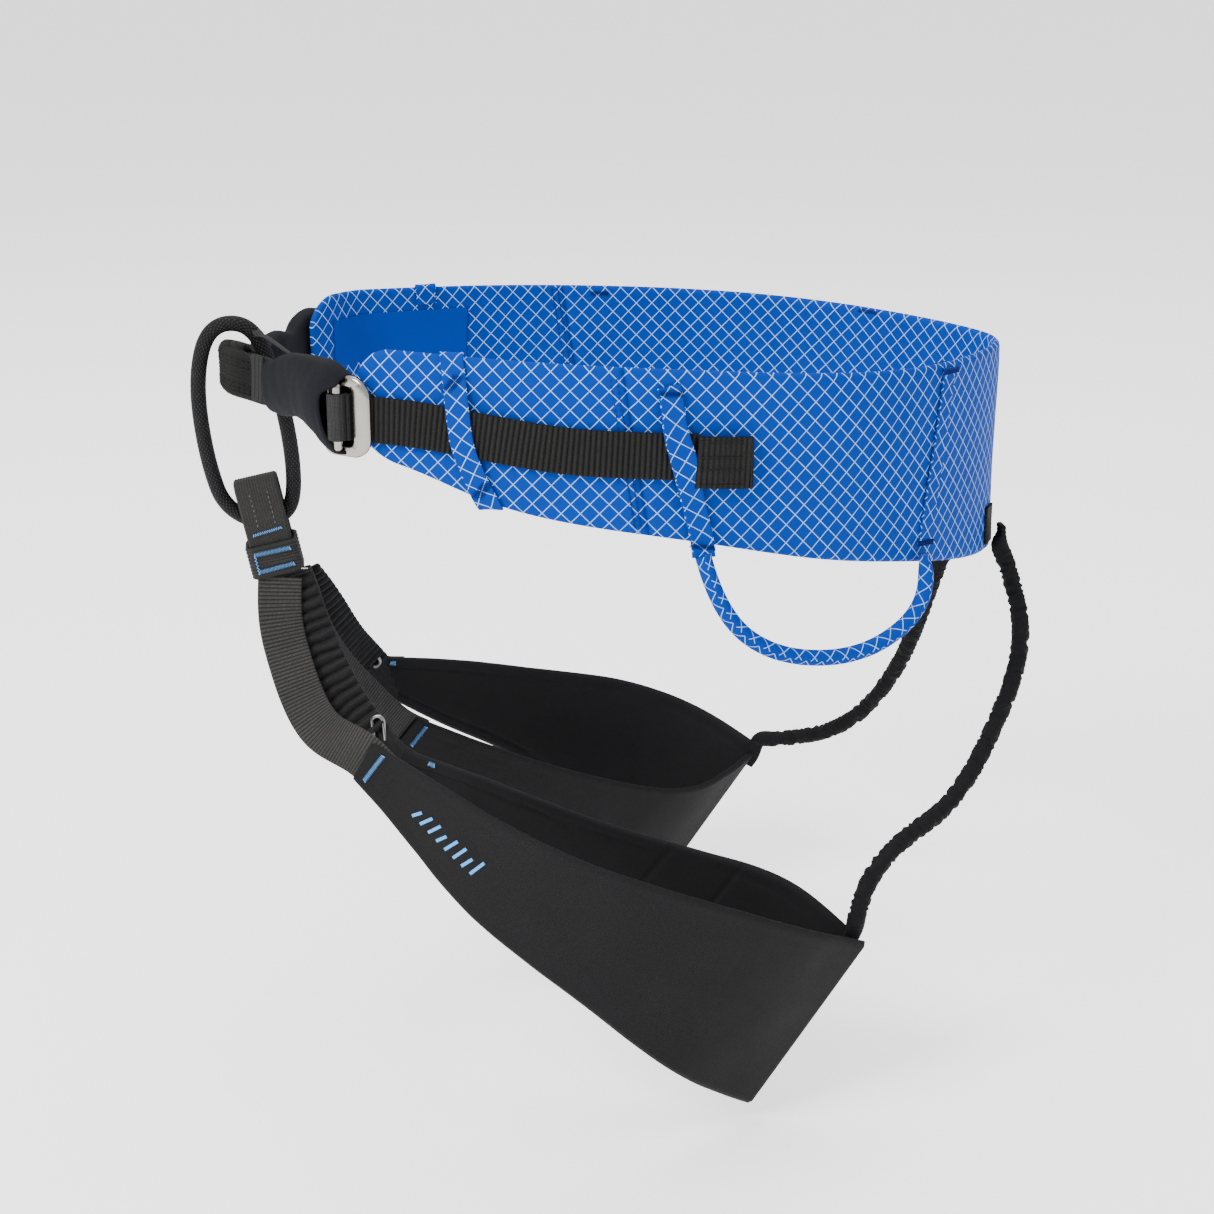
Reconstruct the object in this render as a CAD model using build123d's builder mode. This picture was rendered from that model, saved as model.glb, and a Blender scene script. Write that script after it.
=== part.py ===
from build123d import *
from math import pi
import os

# ---------------------------------------------------------------------------
# Lightweight climbing harness, held open as if it were worn.
# Millimetres. +Z is up, the wearer faces -X and the wearer's left side is -Y.
# The origin is the middle of the waist opening, half way up the belt.
# Every side value is -1 for the wearer's left and +1 for the wearer's right.
# ---------------------------------------------------------------------------

SIDES = {"left": -1, "right": 1}

# Waist belt
BELT_THICKNESS = 4.0
BELT_OUTLINE = [  # half of the outer face in plan, from the front to the middle of the back
    (-172, 58),
    (-150, 76),
    (-120, 89.5),
    (-85, 101.5),
    (-50, 109),
    (-10, 112),
    (30, 108.5),
    (65, 98),
    (98, 78),
    (125, 52),
    (145, 24),
    (153, 0),
]
BELT_TOP = [(-148, 47.4), (170, 31.5)]
BELT_LOWER_EDGE = [
    (170, -71),
    (131, -62),
    (88, -51),
    (38, -41),
    (-11, -30.5),
    (-65, -21),
    (-101, -11),
    (-148, 4),
]
BELT_FRONT_CORNER = 11.0
BELT_FRONT_X = -160.0  # just past the front end of the wings
BELT_REAR_X = 165.0  # just past the back of the belt
WING_SEAM_X = -40.0
TALLEST = 120.0  # more than the height of anything cut from a belt layer
PLAN_STEPS = 28

# Patches sewn inside the wings
PATCH_THICKNESS = 0.7
PATCH_OUTLINE = [(-144, 36), (-88, 34), (-88, 8), (-144, 12)]

# Webbing round the waist, from the buckle back to its folded end
WEBBING_WIDTH = 20.0
WEBBING_THICKNESS = 2.0
WEBBING_GAP = 0.4
WEBBING_ROUTE = [(-139, 19.5), (-108, 16.5), (-65, 10), (-20, 7), (-4, 6)]
WEBBING_END_ROUTE = [(-3.5, 6), (18, 4.5)]
FOLDED_END_THICKNESS = 5.5

# Keeper strap that holds the webbing to the belt
KEEPER_WIDTH = 10.0
KEEPER_TOP_X = -105.0
KEEPER_BOTTOM_X = -95.5
KEEPER_THICKNESS = 0.9
KEEPER_CLEAR = 0.3
KEEPER_ROOM = 0.4  # how far past the belt's edges the ring's ends lie
KEEPER_TOP_Z = 46.2
KEEPER_BOTTOM_Z = -16.2

# Gear loops
GEAR_STRAP_WIDTH = 9.5
GEAR_STRAP_THICKNESS = 1.2
GEAR_STRAP_GAP = 0.3  # between the webbing and the strap over it
GEAR_FRONT_STRAP = [(-21, 36), (-7, -29)]
GEAR_REAR_STRAP = [(111, 31), (98.5, -43)]
GEAR_TUBE_RADIUS = 3.5
GEAR_TUBE_ROUTE = [  # on the right side
    (-6, 117, -33.5),
    (1, 117, -60),
    (28, 114, -82),
    (72, 98, -88),
    (104, 83, -68),
    (98.5, 83, -47.5),
]
GEAR_TUBE_BENDS = [22, 30, 26, 14]

# Waist buckles: a flat frame and a bar that slides across it
BUCKLE_MIDDLE = (-155, 74.5, 18.5)
BUCKLE_ALONG = (0.78, 0.626, 0)
FRAME_HEIGHT = 34.0
FRAME_FROM = -9.0
FRAME_TO = 15.0
FRAME_THICKNESS = 3.0
FRAME_CORNER = 5.5
WINDOW_FROM = -5.0
WINDOW_TO = 8.0
WINDOW_HEIGHT = 25.0
WINDOW_CORNER = 2.0
FRAME_BEVEL = 0.8
BAR_WIDTH = 3.6
BAR_HEIGHT = 29.0
BAR_THICKNESS = 2.6
BAR_OFFSET = 3.2
BAR_CORNER = 1.2
BAR_WEBBING_GAP = 0.3
BAR_WEBBING_WIDTH = 7.0
BAR_WEBBING_THICKNESS = 5.0

# Front strap, its padded sleeve and the tie-in loop
FRONT_STRAP_ROUTE = [(-186, 15.5, 24), (-175, 38, 22), (-168, 55, 19.5), (-163.2, 65, 18.5)]
FRONT_STRAP_THICKNESS = 3.0
SLEEVE_SECTIONS = [  # middle, thickness, height
    ((-183.5, 20, 24), 9, 24.5),
    ((-174.5, 39, 22), 12, 26),
    ((-167, 56, 19.5), 14, 29),
    ((-158.5, 70.5, 18.5), 16, 38),
]
SLEEVE_WALL = 1.3
SLEEVE_CORNER = 5.0
TIE_IN_FRONT_X = -207.0
TIE_IN_REAR_X = -188.0
TIE_IN_HALF_WIDTH = 9.5
TIE_IN_WALL = 3.0
TIE_IN_TOP = [(TIE_IN_FRONT_X - 1, 41), (TIE_IN_REAR_X, 34)]
TIE_IN_BOTTOM = [(TIE_IN_REAR_X, 13.5), (TIE_IN_FRONT_X - 1, 20.5)]
TIE_IN_FLARE = 3.0  # how much wider each side is at the back than at the front

# Rope belay loop
ROPE_RADIUS = 3.3
ROPE_ROUTE = [  # x, z in the middle plane
    (-190, -44.5),
    (-205, -41),
    (-213, -14),
    (-216, 22),
    (-209, 47),
    (-190, 47.5),
    (-181, 24),
    (-175, -6),
    (-174, -33),
    (-180, -43),
    (-189.7, -44.6),
]
ROPE_BENDS = [11, 34, 24, 8.5, 13, 30, 40, 7, 10]

# Loop and wrap that carry the leg straps
CROTCH_TOP = (-192, 0, -23.5)
CROTCH_LEAN = (0.98, 0, 0.2)
CROTCH_WIDTH = 20.0
CROTCH_HALF_WIDTH = 7.6
CROTCH_WALL = 2.4
CROTCH_LENGTH = 30.0
CROTCH_WRAP_HEIGHT = 15.0
CROTCH_WRAP_HALF_WIDTH = 8.6
CROTCH_WRAP_CORNER = 1.5
CROTCH_WRAP_GAP = 0.1
CROTCH_FOLD_RADIUS = 2.2

# Straps from the wrap to the legs: middle of the strap and the way its width runs
STRAP_WIDTH = 20.0
STRAP_THICKNESS = 1.8
ELASTIC_THICKNESS = 3.4
STRAPS = {
    "leg_strap_left": [
        ((-182.5, -7, -73), (1, 0, 0.1)),
        ((-183, -13, -89), (1, 0, 0.05)),
        ((-180, -22, -103), (0.96, 0.05, 0.25)),
        ((-175, -34, -117), (0.9, 0.1, 0.4)),
        ((-166, -52, -128), (0.8, 0.1, 0.6)),
        ((-148.5, -76, -132), (0.66, 0, 0.75)),
    ],
    "leg_strap_right": [
        ((-178, 0.8, -73), (1, 0, 0.1)),
        ((-169, 11, -98), (0.7, 0.6, 0.25)),
        ((-156, 28, -128), (0.6, 0.7, 0.45)),
        ((-140, 44, -154), (0.66, 0.4, 0.65)),
        ((-126.5, 53.5, -170), (0.66, 0.1, 0.74)),
    ],
}
ELASTICS = {
    "leg_elastic_left": [
        ((-176, -3.1, -74), (1, 0, 0.3)),
        ((-166, -11, -94), (0.9, 0.2, 0.45)),
        ((-157, -22, -112), (0.8, 0.25, 0.6)),
        ((-146.5, -37, -127), (0.7, 0.2, 0.7)),
    ],
    "leg_elastic_right": [
        ((-173, 5.2, -72), (1, 0, 0.3)),
        ((-162, 28, -95), (0.8, 0.35, 0.5)),
        ((-152, 55, -121), (0.7, 0.2, 0.68)),
        ((-143, 79, -140), (0.62, 0.1, 0.78)),
    ],
}

# Metal hooks at the elastic's ends
HOOK_LENGTH = 13.0
HOOK_WIDTH = 8.0
HOOK_THICKNESS = 1.8
HOOK_WIRE = 2.2  # width of the metal all round the hook's slot
HOOK_CORNER = 3.4
HOOK_SLOT_CORNER = 1.6
HOOK_FACING = (0.6, 0.1, -0.5)
HOOKS = {
    "leg_hook_left": ((-139, -46.5, -131.5), (0.5, -0.7, -0.5)),
    "leg_hook_right": ((-137.5, 86.5, -144.5), (0.7, 0.5, -0.5)),
}

# Leg loops: pairs of points on the upper and the lower rim, from front to back
PANEL_SHELL = 1.8
PANEL_LINING = 1.4
LEG_PANELS = {
    "leg_left_outer": [
        ((-139, -80, -125), (-153, -80, -141)),
        ((-118, -103, -135), (-139, -92, -156)),
        ((-93, -122, -146), (-117, -106, -182)),
        ((-53, -142, -161), (-86, -128, -208)),
        ((-11, -150, -175), (-53, -140, -233)),
        ((34, -140, -196), (-17, -141, -264)),
        ((69, -119.5, -215), (17, -121.5, -291)),
    ],
    "leg_left_inner": [
        ((-128, -54, -139), (-139, -53, -154)),
        ((-94, -72, -147), (-115, -66, -180)),
        ((-50, -84, -163), (-82, -76, -212)),
        ((2, -92, -180), (-44, -86, -240)),
        ((39, -100, -193), (-12, -98, -268)),
        ((66, -113, -214), (15, -116, -290)),
    ],
    "leg_right_outer": [
        ((-136, 93, -145), (-128, 94, -172)),
        ((-98, 110, -154), (-104, 110, -194)),
        ((-42, 136, -172), (-66, 132, -222)),
        ((-2, 146, -183), (-38, 142, -242)),
        ((40, 140, -199), (-6, 138, -268)),
        ((68, 120.5, -214), (17, 121.5, -291)),
    ],
    "leg_right_inner": [
        ((-119, 56, -165), (-131, 55, -179)),
        ((-87, 62, -182), (-106, 60, -208)),
        ((-45, 70, -202), (-74, 68, -238)),
        ((-8, 78, -216), (-44, 78, -260)),
        ((32, 92, -225), (-12, 94, -278)),
        ((65, 114, -216), (15, 116, -290)),
    ],
}

# Elastic risers from the back of the belt to the back of the legs
RISER_RADIUS = 4.0
RISER_TAB_OUTLINE = [(-30, -44), (-19, -44), (-19, -60), (-30, -60)]  # y, z on the right side mirrored
RISER_TAB_THICKNESS = 1.6
RISERS = {
    "riser_left": [
        (151.5, -25, -61),
        (160, -27, -82),
        (160, -44, -106),
        (144, -64, -133),
        (118, -86, -165),
        (86, -103, -176),
        (69, -112, -192),
        (65.5, -115, -209),
    ],
    "riser_right": [
        (151.5, 25, -61),
        (140, 31, -84),
        (136, 50, -124),
        (131, 70, -158),
        (116, 91, -192),
        (92, 104, -206),
        (70, 113, -209),
    ],
}
RISER_BENDS = {
    "riser_left": [24, 24, 40, 26, 20, 20],
    "riser_right": [24, 34, 40, 22, 22],
}


def save(piece, name):
    """Name one solid and write it to its own file."""
    piece.part.label = name
    export_step(piece.part, f"parts/{name}.step")
    print(f"{name}: {piece.part.volume:.0f} mm3, {len(piece.part.solids())} solid")


def on_side(points, side):
    """Points given for the right side, mirrored to the side that is wanted."""
    return [(x, y * side, z) for x, y, z in points]


# ---------------------------------------------------------------------------
# Layers that follow the belt: a band in plan, cut to an outline seen from the side
# ---------------------------------------------------------------------------


def belt_curve(distance):
    """Points along the belt's outer face in plan, moved out by a distance, front to front."""
    mirrored = [(x, -y) for x, y in reversed(BELT_OUTLINE[:-1])]
    outline = Spline(*BELT_OUTLINE, *mirrored, mode=Mode.PRIVATE)
    points = []
    for step in range(PLAN_STEPS + 1):
        ahead = outline % (step / PLAN_STEPS)
        out = Vector(-ahead.Y, ahead.X, 0)
        point = outline @ (step / PLAN_STEPS) + out * distance
        points.append((point.X, point.Y))
    return points


def belt_band(inner, outer):
    """A tall wall between two distances from the belt's outer face."""
    outside = belt_curve(outer)
    inside = belt_curve(inner)
    with BuildPart() as band:
        with BuildSketch(Plane.XY.offset(-TALLEST)):
            with BuildLine():
                Spline(*outside)
                Spline(*inside)
                Line(outside[0], inside[0])
                Line(outside[-1], inside[-1])
            make_face()
        extrude(amount=2 * TALLEST)
    return band


def belt_layer(profile, inner, outer, side=None):
    """The part of a side-view profile that lies between two distances from the belt's outer face."""
    with BuildPart() as layer:
        if side is None:
            extrude(profile.sketch, amount=2 * TALLEST, dir=(0, 1, 0), both=True)
        else:
            extrude(profile.sketch, amount=2 * TALLEST, dir=(0, side, 0))
        add(belt_band(inner, outer).part, mode=Mode.INTERSECT)
    return layer


def belt_profile(x_from, x_to):
    """The belt seen from the side between two stations."""
    with BuildSketch(Plane.XZ) as profile:
        with BuildLine():
            Line(*BELT_TOP)
            Line(BELT_TOP[1], BELT_LOWER_EDGE[0])
            Spline(*BELT_LOWER_EDGE)
            Line(BELT_LOWER_EDGE[-1], BELT_TOP[0])
        make_face()
        fillet(profile.vertices().sort_by(Axis.X)[:2], radius=BELT_FRONT_CORNER)
        with Locations(((x_from + x_to) / 2, 0)):
            Rectangle(x_to - x_from, 2 * TALLEST, mode=Mode.INTERSECT)
    return profile


def outline_profile(points):
    """A side view bounded by straight lines."""
    with BuildSketch(Plane.XZ) as profile:
        with BuildLine():
            Polyline(*points, close=True)
        make_face()
    return profile


def level_band(route, width):
    """A side view of a strap that keeps its width along a nearly level route."""
    upper = [(x, z + width / 2) for x, z in route]
    lower = [(x, z - width / 2) for x, z in reversed(route)]
    with BuildSketch(Plane.XZ) as profile:
        with BuildLine():
            if len(route) > 2:
                Spline(*upper)
                Spline(*lower)
            else:
                Line(*upper)
                Line(*lower)
            Line(upper[-1], lower[0])
            Line(lower[-1], upper[0])
        make_face()
    return profile


def upright_band(ends, width):
    """A side view of a strap that runs down the belt from one point to another."""
    (top_x, top_z), (bottom_x, bottom_z) = ends
    half = width / 2
    return outline_profile(
        [
            (top_x - half, top_z),
            (top_x + half, top_z),
            (bottom_x + half, bottom_z),
            (bottom_x - half, bottom_z),
        ]
    )


# ---------------------------------------------------------------------------
# Straps, panels and cords
# ---------------------------------------------------------------------------


def lofted(sections, rounded=0.0):
    """A solid through rectangles given as middle, way of the width, way ahead, width, thickness."""
    with BuildPart() as solid:
        for middle, across, ahead, width, thickness in sections:
            with BuildSketch(Plane(origin=middle, x_dir=across, z_dir=ahead)):
                if rounded:
                    RectangleRounded(width, thickness, min(rounded, 0.45 * thickness))
                else:
                    Rectangle(width, thickness)
        loft()
    return solid


def ways_ahead(middles):
    """The way ahead at each point of a route."""
    ways = []
    last = len(middles) - 1
    for index in range(len(middles)):
        before = Vector(*middles[max(index - 1, 0)])
        after = Vector(*middles[min(index + 1, last)])
        ways.append((after - before).normalized())
    return ways


def strap(stations, width, thickness):
    """A flat strap through stations of middle and width direction."""
    middles = [middle for middle, _ in stations]
    sections = []
    for (middle, across), ahead in zip(stations, ways_ahead(middles)):
        wide = Vector(*across)
        wide = (wide - ahead * wide.dot(ahead)).normalized()
        sections.append((middle, wide, ahead, width, thickness))
    return lofted(sections)


def panel(rims, inner, outer):
    """A curved panel between two rims, from one distance to another off its middle surface."""
    middles = []
    for upper, lower in rims:
        middles.append(tuple((Vector(*upper) + Vector(*lower)) * 0.5))
    sections = []
    for (upper, lower), middle, ahead in zip(rims, middles, ways_ahead(middles)):
        across = Vector(*upper) - Vector(*lower)
        width = across.length
        across = across.normalized()
        out = ahead.cross(across).normalized()
        square = across.cross(out).normalized()
        centre = Vector(*middle) + out * ((inner + outer) / 2)
        sections.append((centre, across, square, width, outer - inner))
    return lofted(sections)


def round_cord(points, bends, radius):
    """A round cord along straight runs joined by arcs."""
    with BuildPart() as cord:
        with BuildLine() as route:
            FilletPolyline(*points, radius=bends)
        middle = route.wires()[0]
        with BuildSketch(Plane(origin=middle @ 0, z_dir=middle % 0)):
            Circle(radius)
        sweep()
    whole = cord.part.volume / (pi * radius**2 * middle.length)
    print(f"  cord length {middle.length:.0f} mm, bends {bends}, volume over section {whole:.3f}")
    return cord


os.makedirs("parts", exist_ok=True)

# ---------------------------------------------------------------------------
# Belt: one back panel and two wings, sewn together at upright seams
# ---------------------------------------------------------------------------

save(belt_layer(belt_profile(WING_SEAM_X, BELT_REAR_X), -BELT_THICKNESS, 0), "belt_back_panel")
for name, side in SIDES.items():
    wing = belt_layer(belt_profile(BELT_FRONT_X, WING_SEAM_X), -BELT_THICKNESS, 0, side)
    save(wing, f"belt_wing_{name}")

    patch_inside = -BELT_THICKNESS - PATCH_THICKNESS
    patch = belt_layer(outline_profile(PATCH_OUTLINE), patch_inside, -BELT_THICKNESS, side)
    save(patch, f"wing_patch_{name}")

    webbing_outside = WEBBING_GAP + WEBBING_THICKNESS
    webbing = belt_layer(level_band(WEBBING_ROUTE, WEBBING_WIDTH), WEBBING_GAP, webbing_outside, side)
    save(webbing, f"waist_webbing_{name}")

    end_outside = WEBBING_GAP + FOLDED_END_THICKNESS
    folded_end = belt_layer(
        level_band(WEBBING_END_ROUTE, WEBBING_WIDTH), WEBBING_GAP, end_outside, side
    )
    save(folded_end, f"webbing_end_{name}")

    # The gear loop's straps lie over the webbing at the front and on the belt at the back.
    over_webbing = webbing_outside + GEAR_STRAP_GAP
    front_strap = belt_layer(
        upright_band(GEAR_FRONT_STRAP, GEAR_STRAP_WIDTH),
        over_webbing,
        over_webbing + GEAR_STRAP_THICKNESS,
        side,
    )
    save(front_strap, f"gear_strap_front_{name}")
    rear_strap = belt_layer(
        upright_band(GEAR_REAR_STRAP, GEAR_STRAP_WIDTH), 0, GEAR_STRAP_THICKNESS, side
    )
    save(rear_strap, f"gear_strap_rear_{name}")

# ---------------------------------------------------------------------------
# Keepers: flat rings round the belt and the webbing
# ---------------------------------------------------------------------------

for name, side in SIDES.items():
    ring_outside = WEBBING_GAP + WEBBING_THICKNESS + KEEPER_CLEAR
    ring_inside = -BELT_THICKNESS - PATCH_THICKNESS - KEEPER_CLEAR
    ends = [(KEEPER_TOP_X, KEEPER_TOP_Z), (KEEPER_BOTTOM_X, KEEPER_BOTTOM_Z)]
    reach = KEEPER_THICKNESS + KEEPER_ROOM
    wider = [(ends[0][0], ends[0][1] + reach), (ends[1][0], ends[1][1] - reach)]
    with BuildPart() as keeper:
        add(
            belt_layer(
                upright_band(wider, KEEPER_WIDTH),
                ring_inside - KEEPER_THICKNESS,
                ring_outside + KEEPER_THICKNESS,
                side,
            ).part
        )
        add(
            belt_layer(
                upright_band(ends, KEEPER_WIDTH + 2),
                ring_inside,
                ring_outside,
                side,
            ).part,
            mode=Mode.SUBTRACT,
        )
    save(keeper, f"keeper_{name}")

# ---------------------------------------------------------------------------
# Gear loop tubes
# ---------------------------------------------------------------------------

for name, side in SIDES.items():
    tube = round_cord(on_side(GEAR_TUBE_ROUTE, side), GEAR_TUBE_BENDS, GEAR_TUBE_RADIUS)
    save(tube, f"gear_tube_{name}")

# ---------------------------------------------------------------------------
# Waist buckles
# ---------------------------------------------------------------------------


def buckle_plane(side, out=0.0):
    """The buckle's own plane: its x runs back along the strap, its y runs up."""
    along = Vector(BUCKLE_ALONG[0], BUCKLE_ALONG[1] * side, 0)
    outward = Vector(-BUCKLE_ALONG[1], BUCKLE_ALONG[0] * side, 0)
    middle = Vector(BUCKLE_MIDDLE[0], BUCKLE_MIDDLE[1] * side, BUCKLE_MIDDLE[2])
    normal = along.cross(Vector(0, 0, 1))
    return Plane(origin=middle + outward * out, x_dir=along, z_dir=normal)


for name, side in SIDES.items():
    with BuildPart() as frame:
        with BuildSketch(buckle_plane(side)):
            with Locations(((FRAME_FROM + FRAME_TO) / 2, 0)):
                RectangleRounded(FRAME_TO - FRAME_FROM, FRAME_HEIGHT, FRAME_CORNER)
            with Locations(((WINDOW_FROM + WINDOW_TO) / 2, 0)):
                RectangleRounded(
                    WINDOW_TO - WINDOW_FROM, WINDOW_HEIGHT, WINDOW_CORNER, mode=Mode.SUBTRACT
                )
        extrude(amount=FRAME_THICKNESS / 2, both=True)
        chamfer(frame.faces().sort_by(SortBy.AREA)[-2:].edges(), length=FRAME_BEVEL)
    save(frame, f"buckle_frame_{name}")

    with BuildPart() as bar:
        with BuildSketch(buckle_plane(side, BAR_OFFSET)):
            RectangleRounded(BAR_WIDTH, BAR_HEIGHT, BAR_CORNER)
        extrude(amount=BAR_THICKNESS / 2, both=True)
    save(bar, f"buckle_bar_{name}")

    with BuildPart() as bar_webbing:
        with BuildSketch(buckle_plane(side, BAR_OFFSET)):
            Rectangle(BAR_WEBBING_WIDTH, WEBBING_WIDTH)
        extrude(amount=BAR_WEBBING_THICKNESS / 2, both=True)
        with BuildSketch(buckle_plane(side, BAR_OFFSET)):
            Rectangle(BAR_WIDTH, BAR_HEIGHT)
        extrude(amount=BAR_THICKNESS / 2, both=True, mode=Mode.SUBTRACT)
        with BuildSketch(buckle_plane(side)):
            with Locations(((FRAME_FROM + FRAME_TO) / 2, 0)):
                Rectangle(FRAME_TO - FRAME_FROM, FRAME_HEIGHT)
        extrude(amount=FRAME_THICKNESS / 2 + BAR_WEBBING_GAP, both=True, mode=Mode.SUBTRACT)
    save(bar_webbing, f"buckle_webbing_{name}")

# ---------------------------------------------------------------------------
# Front straps inside their padded sleeves, and the loop where they meet
# ---------------------------------------------------------------------------

for name, side in SIDES.items():
    route = on_side(FRONT_STRAP_ROUTE, side)
    front_strap = strap([(point, (0, 0, 1)) for point in route], WEBBING_WIDTH, FRONT_STRAP_THICKNESS)
    save(front_strap, f"front_strap_{name}")

    middles = on_side([middle for middle, _, _ in SLEEVE_SECTIONS], side)
    skins = []
    for wall in (0.0, SLEEVE_WALL):
        sections = []
        for middle, ahead, (_, thick, high) in zip(middles, ways_ahead(middles), SLEEVE_SECTIONS):
            level = Vector(ahead.X, ahead.Y, 0).normalized()
            sections.append((middle, (0, 0, 1), level, high - 2 * wall, thick - 2 * wall))
        skins.append(lofted(sections, rounded=SLEEVE_CORNER))
    with BuildPart() as sleeve:
        add(skins[0].part)
        add(skins[1].part, mode=Mode.SUBTRACT)
    save(sleeve, f"front_sleeve_{name}")

hollow_front_x = TIE_IN_FRONT_X + TIE_IN_WALL
hollow_front = TIE_IN_HALF_WIDTH - TIE_IN_WALL
hollow_rear = hollow_front + TIE_IN_FLARE * (TIE_IN_REAR_X + 1 - TIE_IN_FRONT_X) / (
    TIE_IN_REAR_X - TIE_IN_FRONT_X
)

with BuildPart() as tie_in_loop:
    with BuildSketch(Plane.XZ):
        with BuildLine():
            Polyline(*TIE_IN_TOP, *TIE_IN_BOTTOM, close=True)
        make_face()
    extrude(amount=2 * TIE_IN_HALF_WIDTH, both=True)
    with BuildSketch(Plane.XY.offset(-TALLEST)):
        with BuildLine():
            Polyline(
                (TIE_IN_REAR_X, -TIE_IN_HALF_WIDTH - TIE_IN_FLARE),
                (TIE_IN_FRONT_X, -TIE_IN_HALF_WIDTH),
                (TIE_IN_FRONT_X, TIE_IN_HALF_WIDTH),
                (TIE_IN_REAR_X, TIE_IN_HALF_WIDTH + TIE_IN_FLARE),
                close=True,
            )
        make_face()
    extrude(amount=2 * TALLEST, mode=Mode.INTERSECT)
    with BuildSketch(Plane.XY.offset(-TALLEST)):
        with BuildLine():
            Polyline(
                (TIE_IN_REAR_X + 1, -hollow_rear),
                (hollow_front_x, -hollow_front),
                (hollow_front_x, hollow_front),
                (TIE_IN_REAR_X + 1, hollow_rear),
                close=True,
            )
        make_face()
    extrude(amount=2 * TALLEST, mode=Mode.SUBTRACT)
    fillet(tie_in_loop.edges().filter_by(Axis.Z).sort_by(Axis.X)[:2], radius=TIE_IN_WALL)
save(tie_in_loop, "tie_in_loop")

# ---------------------------------------------------------------------------
# Rope belay loop: closed, its ends joined inside the loop below
# ---------------------------------------------------------------------------

rope_loop = round_cord([(x, 0, z) for x, z in ROPE_ROUTE], ROPE_BENDS, ROPE_RADIUS)
save(rope_loop, "rope_belay_loop")

# ---------------------------------------------------------------------------
# Loop over the rope, and the wrap that gathers the leg straps below it
# ---------------------------------------------------------------------------

lean = Vector(*CROTCH_LEAN).normalized()
upward = Vector(-lean.Z, 0, lean.X)
section_plane = Plane(origin=CROTCH_TOP, x_dir=(0, 1, 0), z_dir=Vector(0, 1, 0).cross(upward))

with BuildPart() as crotch_loop:
    with BuildSketch(section_plane):
        with Locations((0, -CROTCH_LENGTH / 2)):
            Rectangle(2 * CROTCH_HALF_WIDTH, CROTCH_LENGTH)
        with Locations((0, -CROTCH_LENGTH / 2 - CROTCH_WALL)):
            Rectangle(2 * (CROTCH_HALF_WIDTH - CROTCH_WALL), CROTCH_LENGTH, mode=Mode.SUBTRACT)
    extrude(amount=CROTCH_WIDTH / 2, both=True)
    for end in (0, -1):
        fold = crotch_loop.faces().sort_by(Axis.Z)[-1].edges().sort_by(Axis.Y)[end]
        fillet(fold, radius=CROTCH_FOLD_RADIUS)
save(crotch_loop, "leg_tie_in_loop")

with BuildPart() as crotch_wrap:
    with BuildSketch(section_plane):
        with Locations((0, -CROTCH_LENGTH - CROTCH_WRAP_GAP - CROTCH_WRAP_HEIGHT / 2)):
            RectangleRounded(2 * CROTCH_WRAP_HALF_WIDTH, CROTCH_WRAP_HEIGHT, CROTCH_WRAP_CORNER)
    extrude(amount=CROTCH_WIDTH / 2 + 1, both=True)
save(crotch_wrap, "leg_strap_wrap")

# ---------------------------------------------------------------------------
# Straps, elastics and hooks down to the legs
# ---------------------------------------------------------------------------

for name, stations in STRAPS.items():
    save(strap(stations, STRAP_WIDTH, STRAP_THICKNESS), name)
for name, stations in ELASTICS.items():
    save(strap(stations, STRAP_WIDTH, ELASTIC_THICKNESS), name)
for name, (middle, along) in HOOKS.items():
    with BuildPart() as hook:
        with BuildSketch(Plane(origin=middle, x_dir=along, z_dir=HOOK_FACING)):
            RectangleRounded(HOOK_WIDTH, HOOK_LENGTH, HOOK_CORNER)
            RectangleRounded(
                HOOK_WIDTH - 2 * HOOK_WIRE,
                HOOK_LENGTH - 2 * HOOK_WIRE,
                HOOK_SLOT_CORNER,
                mode=Mode.SUBTRACT,
            )
        extrude(amount=HOOK_THICKNESS / 2, both=True)
    save(hook, name)

# ---------------------------------------------------------------------------
# Leg loops: a woven shell outside and a lining against the leg
# ---------------------------------------------------------------------------

for name, rims in LEG_PANELS.items():
    outward = 1 if name in ("leg_left_inner", "leg_right_outer") else -1
    shell = sorted((0, outward * PANEL_SHELL))
    lining = sorted((0, -outward * PANEL_LINING))
    save(panel(rims, *shell), f"{name}_shell")
    save(panel(rims, *lining), f"{name}_lining")

# ---------------------------------------------------------------------------
# Risers from the back of the belt
# ---------------------------------------------------------------------------

for name, side in SIDES.items():
    with BuildPart() as tab:
        with BuildSketch(Plane.YZ):
            with BuildLine():
                Polyline(*[(-y * side, z) for y, z in RISER_TAB_OUTLINE], close=True)
            make_face()
        extrude(amount=2 * TALLEST)
        add(belt_band(0, RISER_TAB_THICKNESS).part, mode=Mode.INTERSECT)
    save(tab, f"riser_tab_{name}")
for name, route in RISERS.items():
    save(round_cord(route, RISER_BENDS[name], RISER_RADIUS), name)
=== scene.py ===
import bmesh
import bpy
import numpy as np
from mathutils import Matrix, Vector, noise


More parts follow.
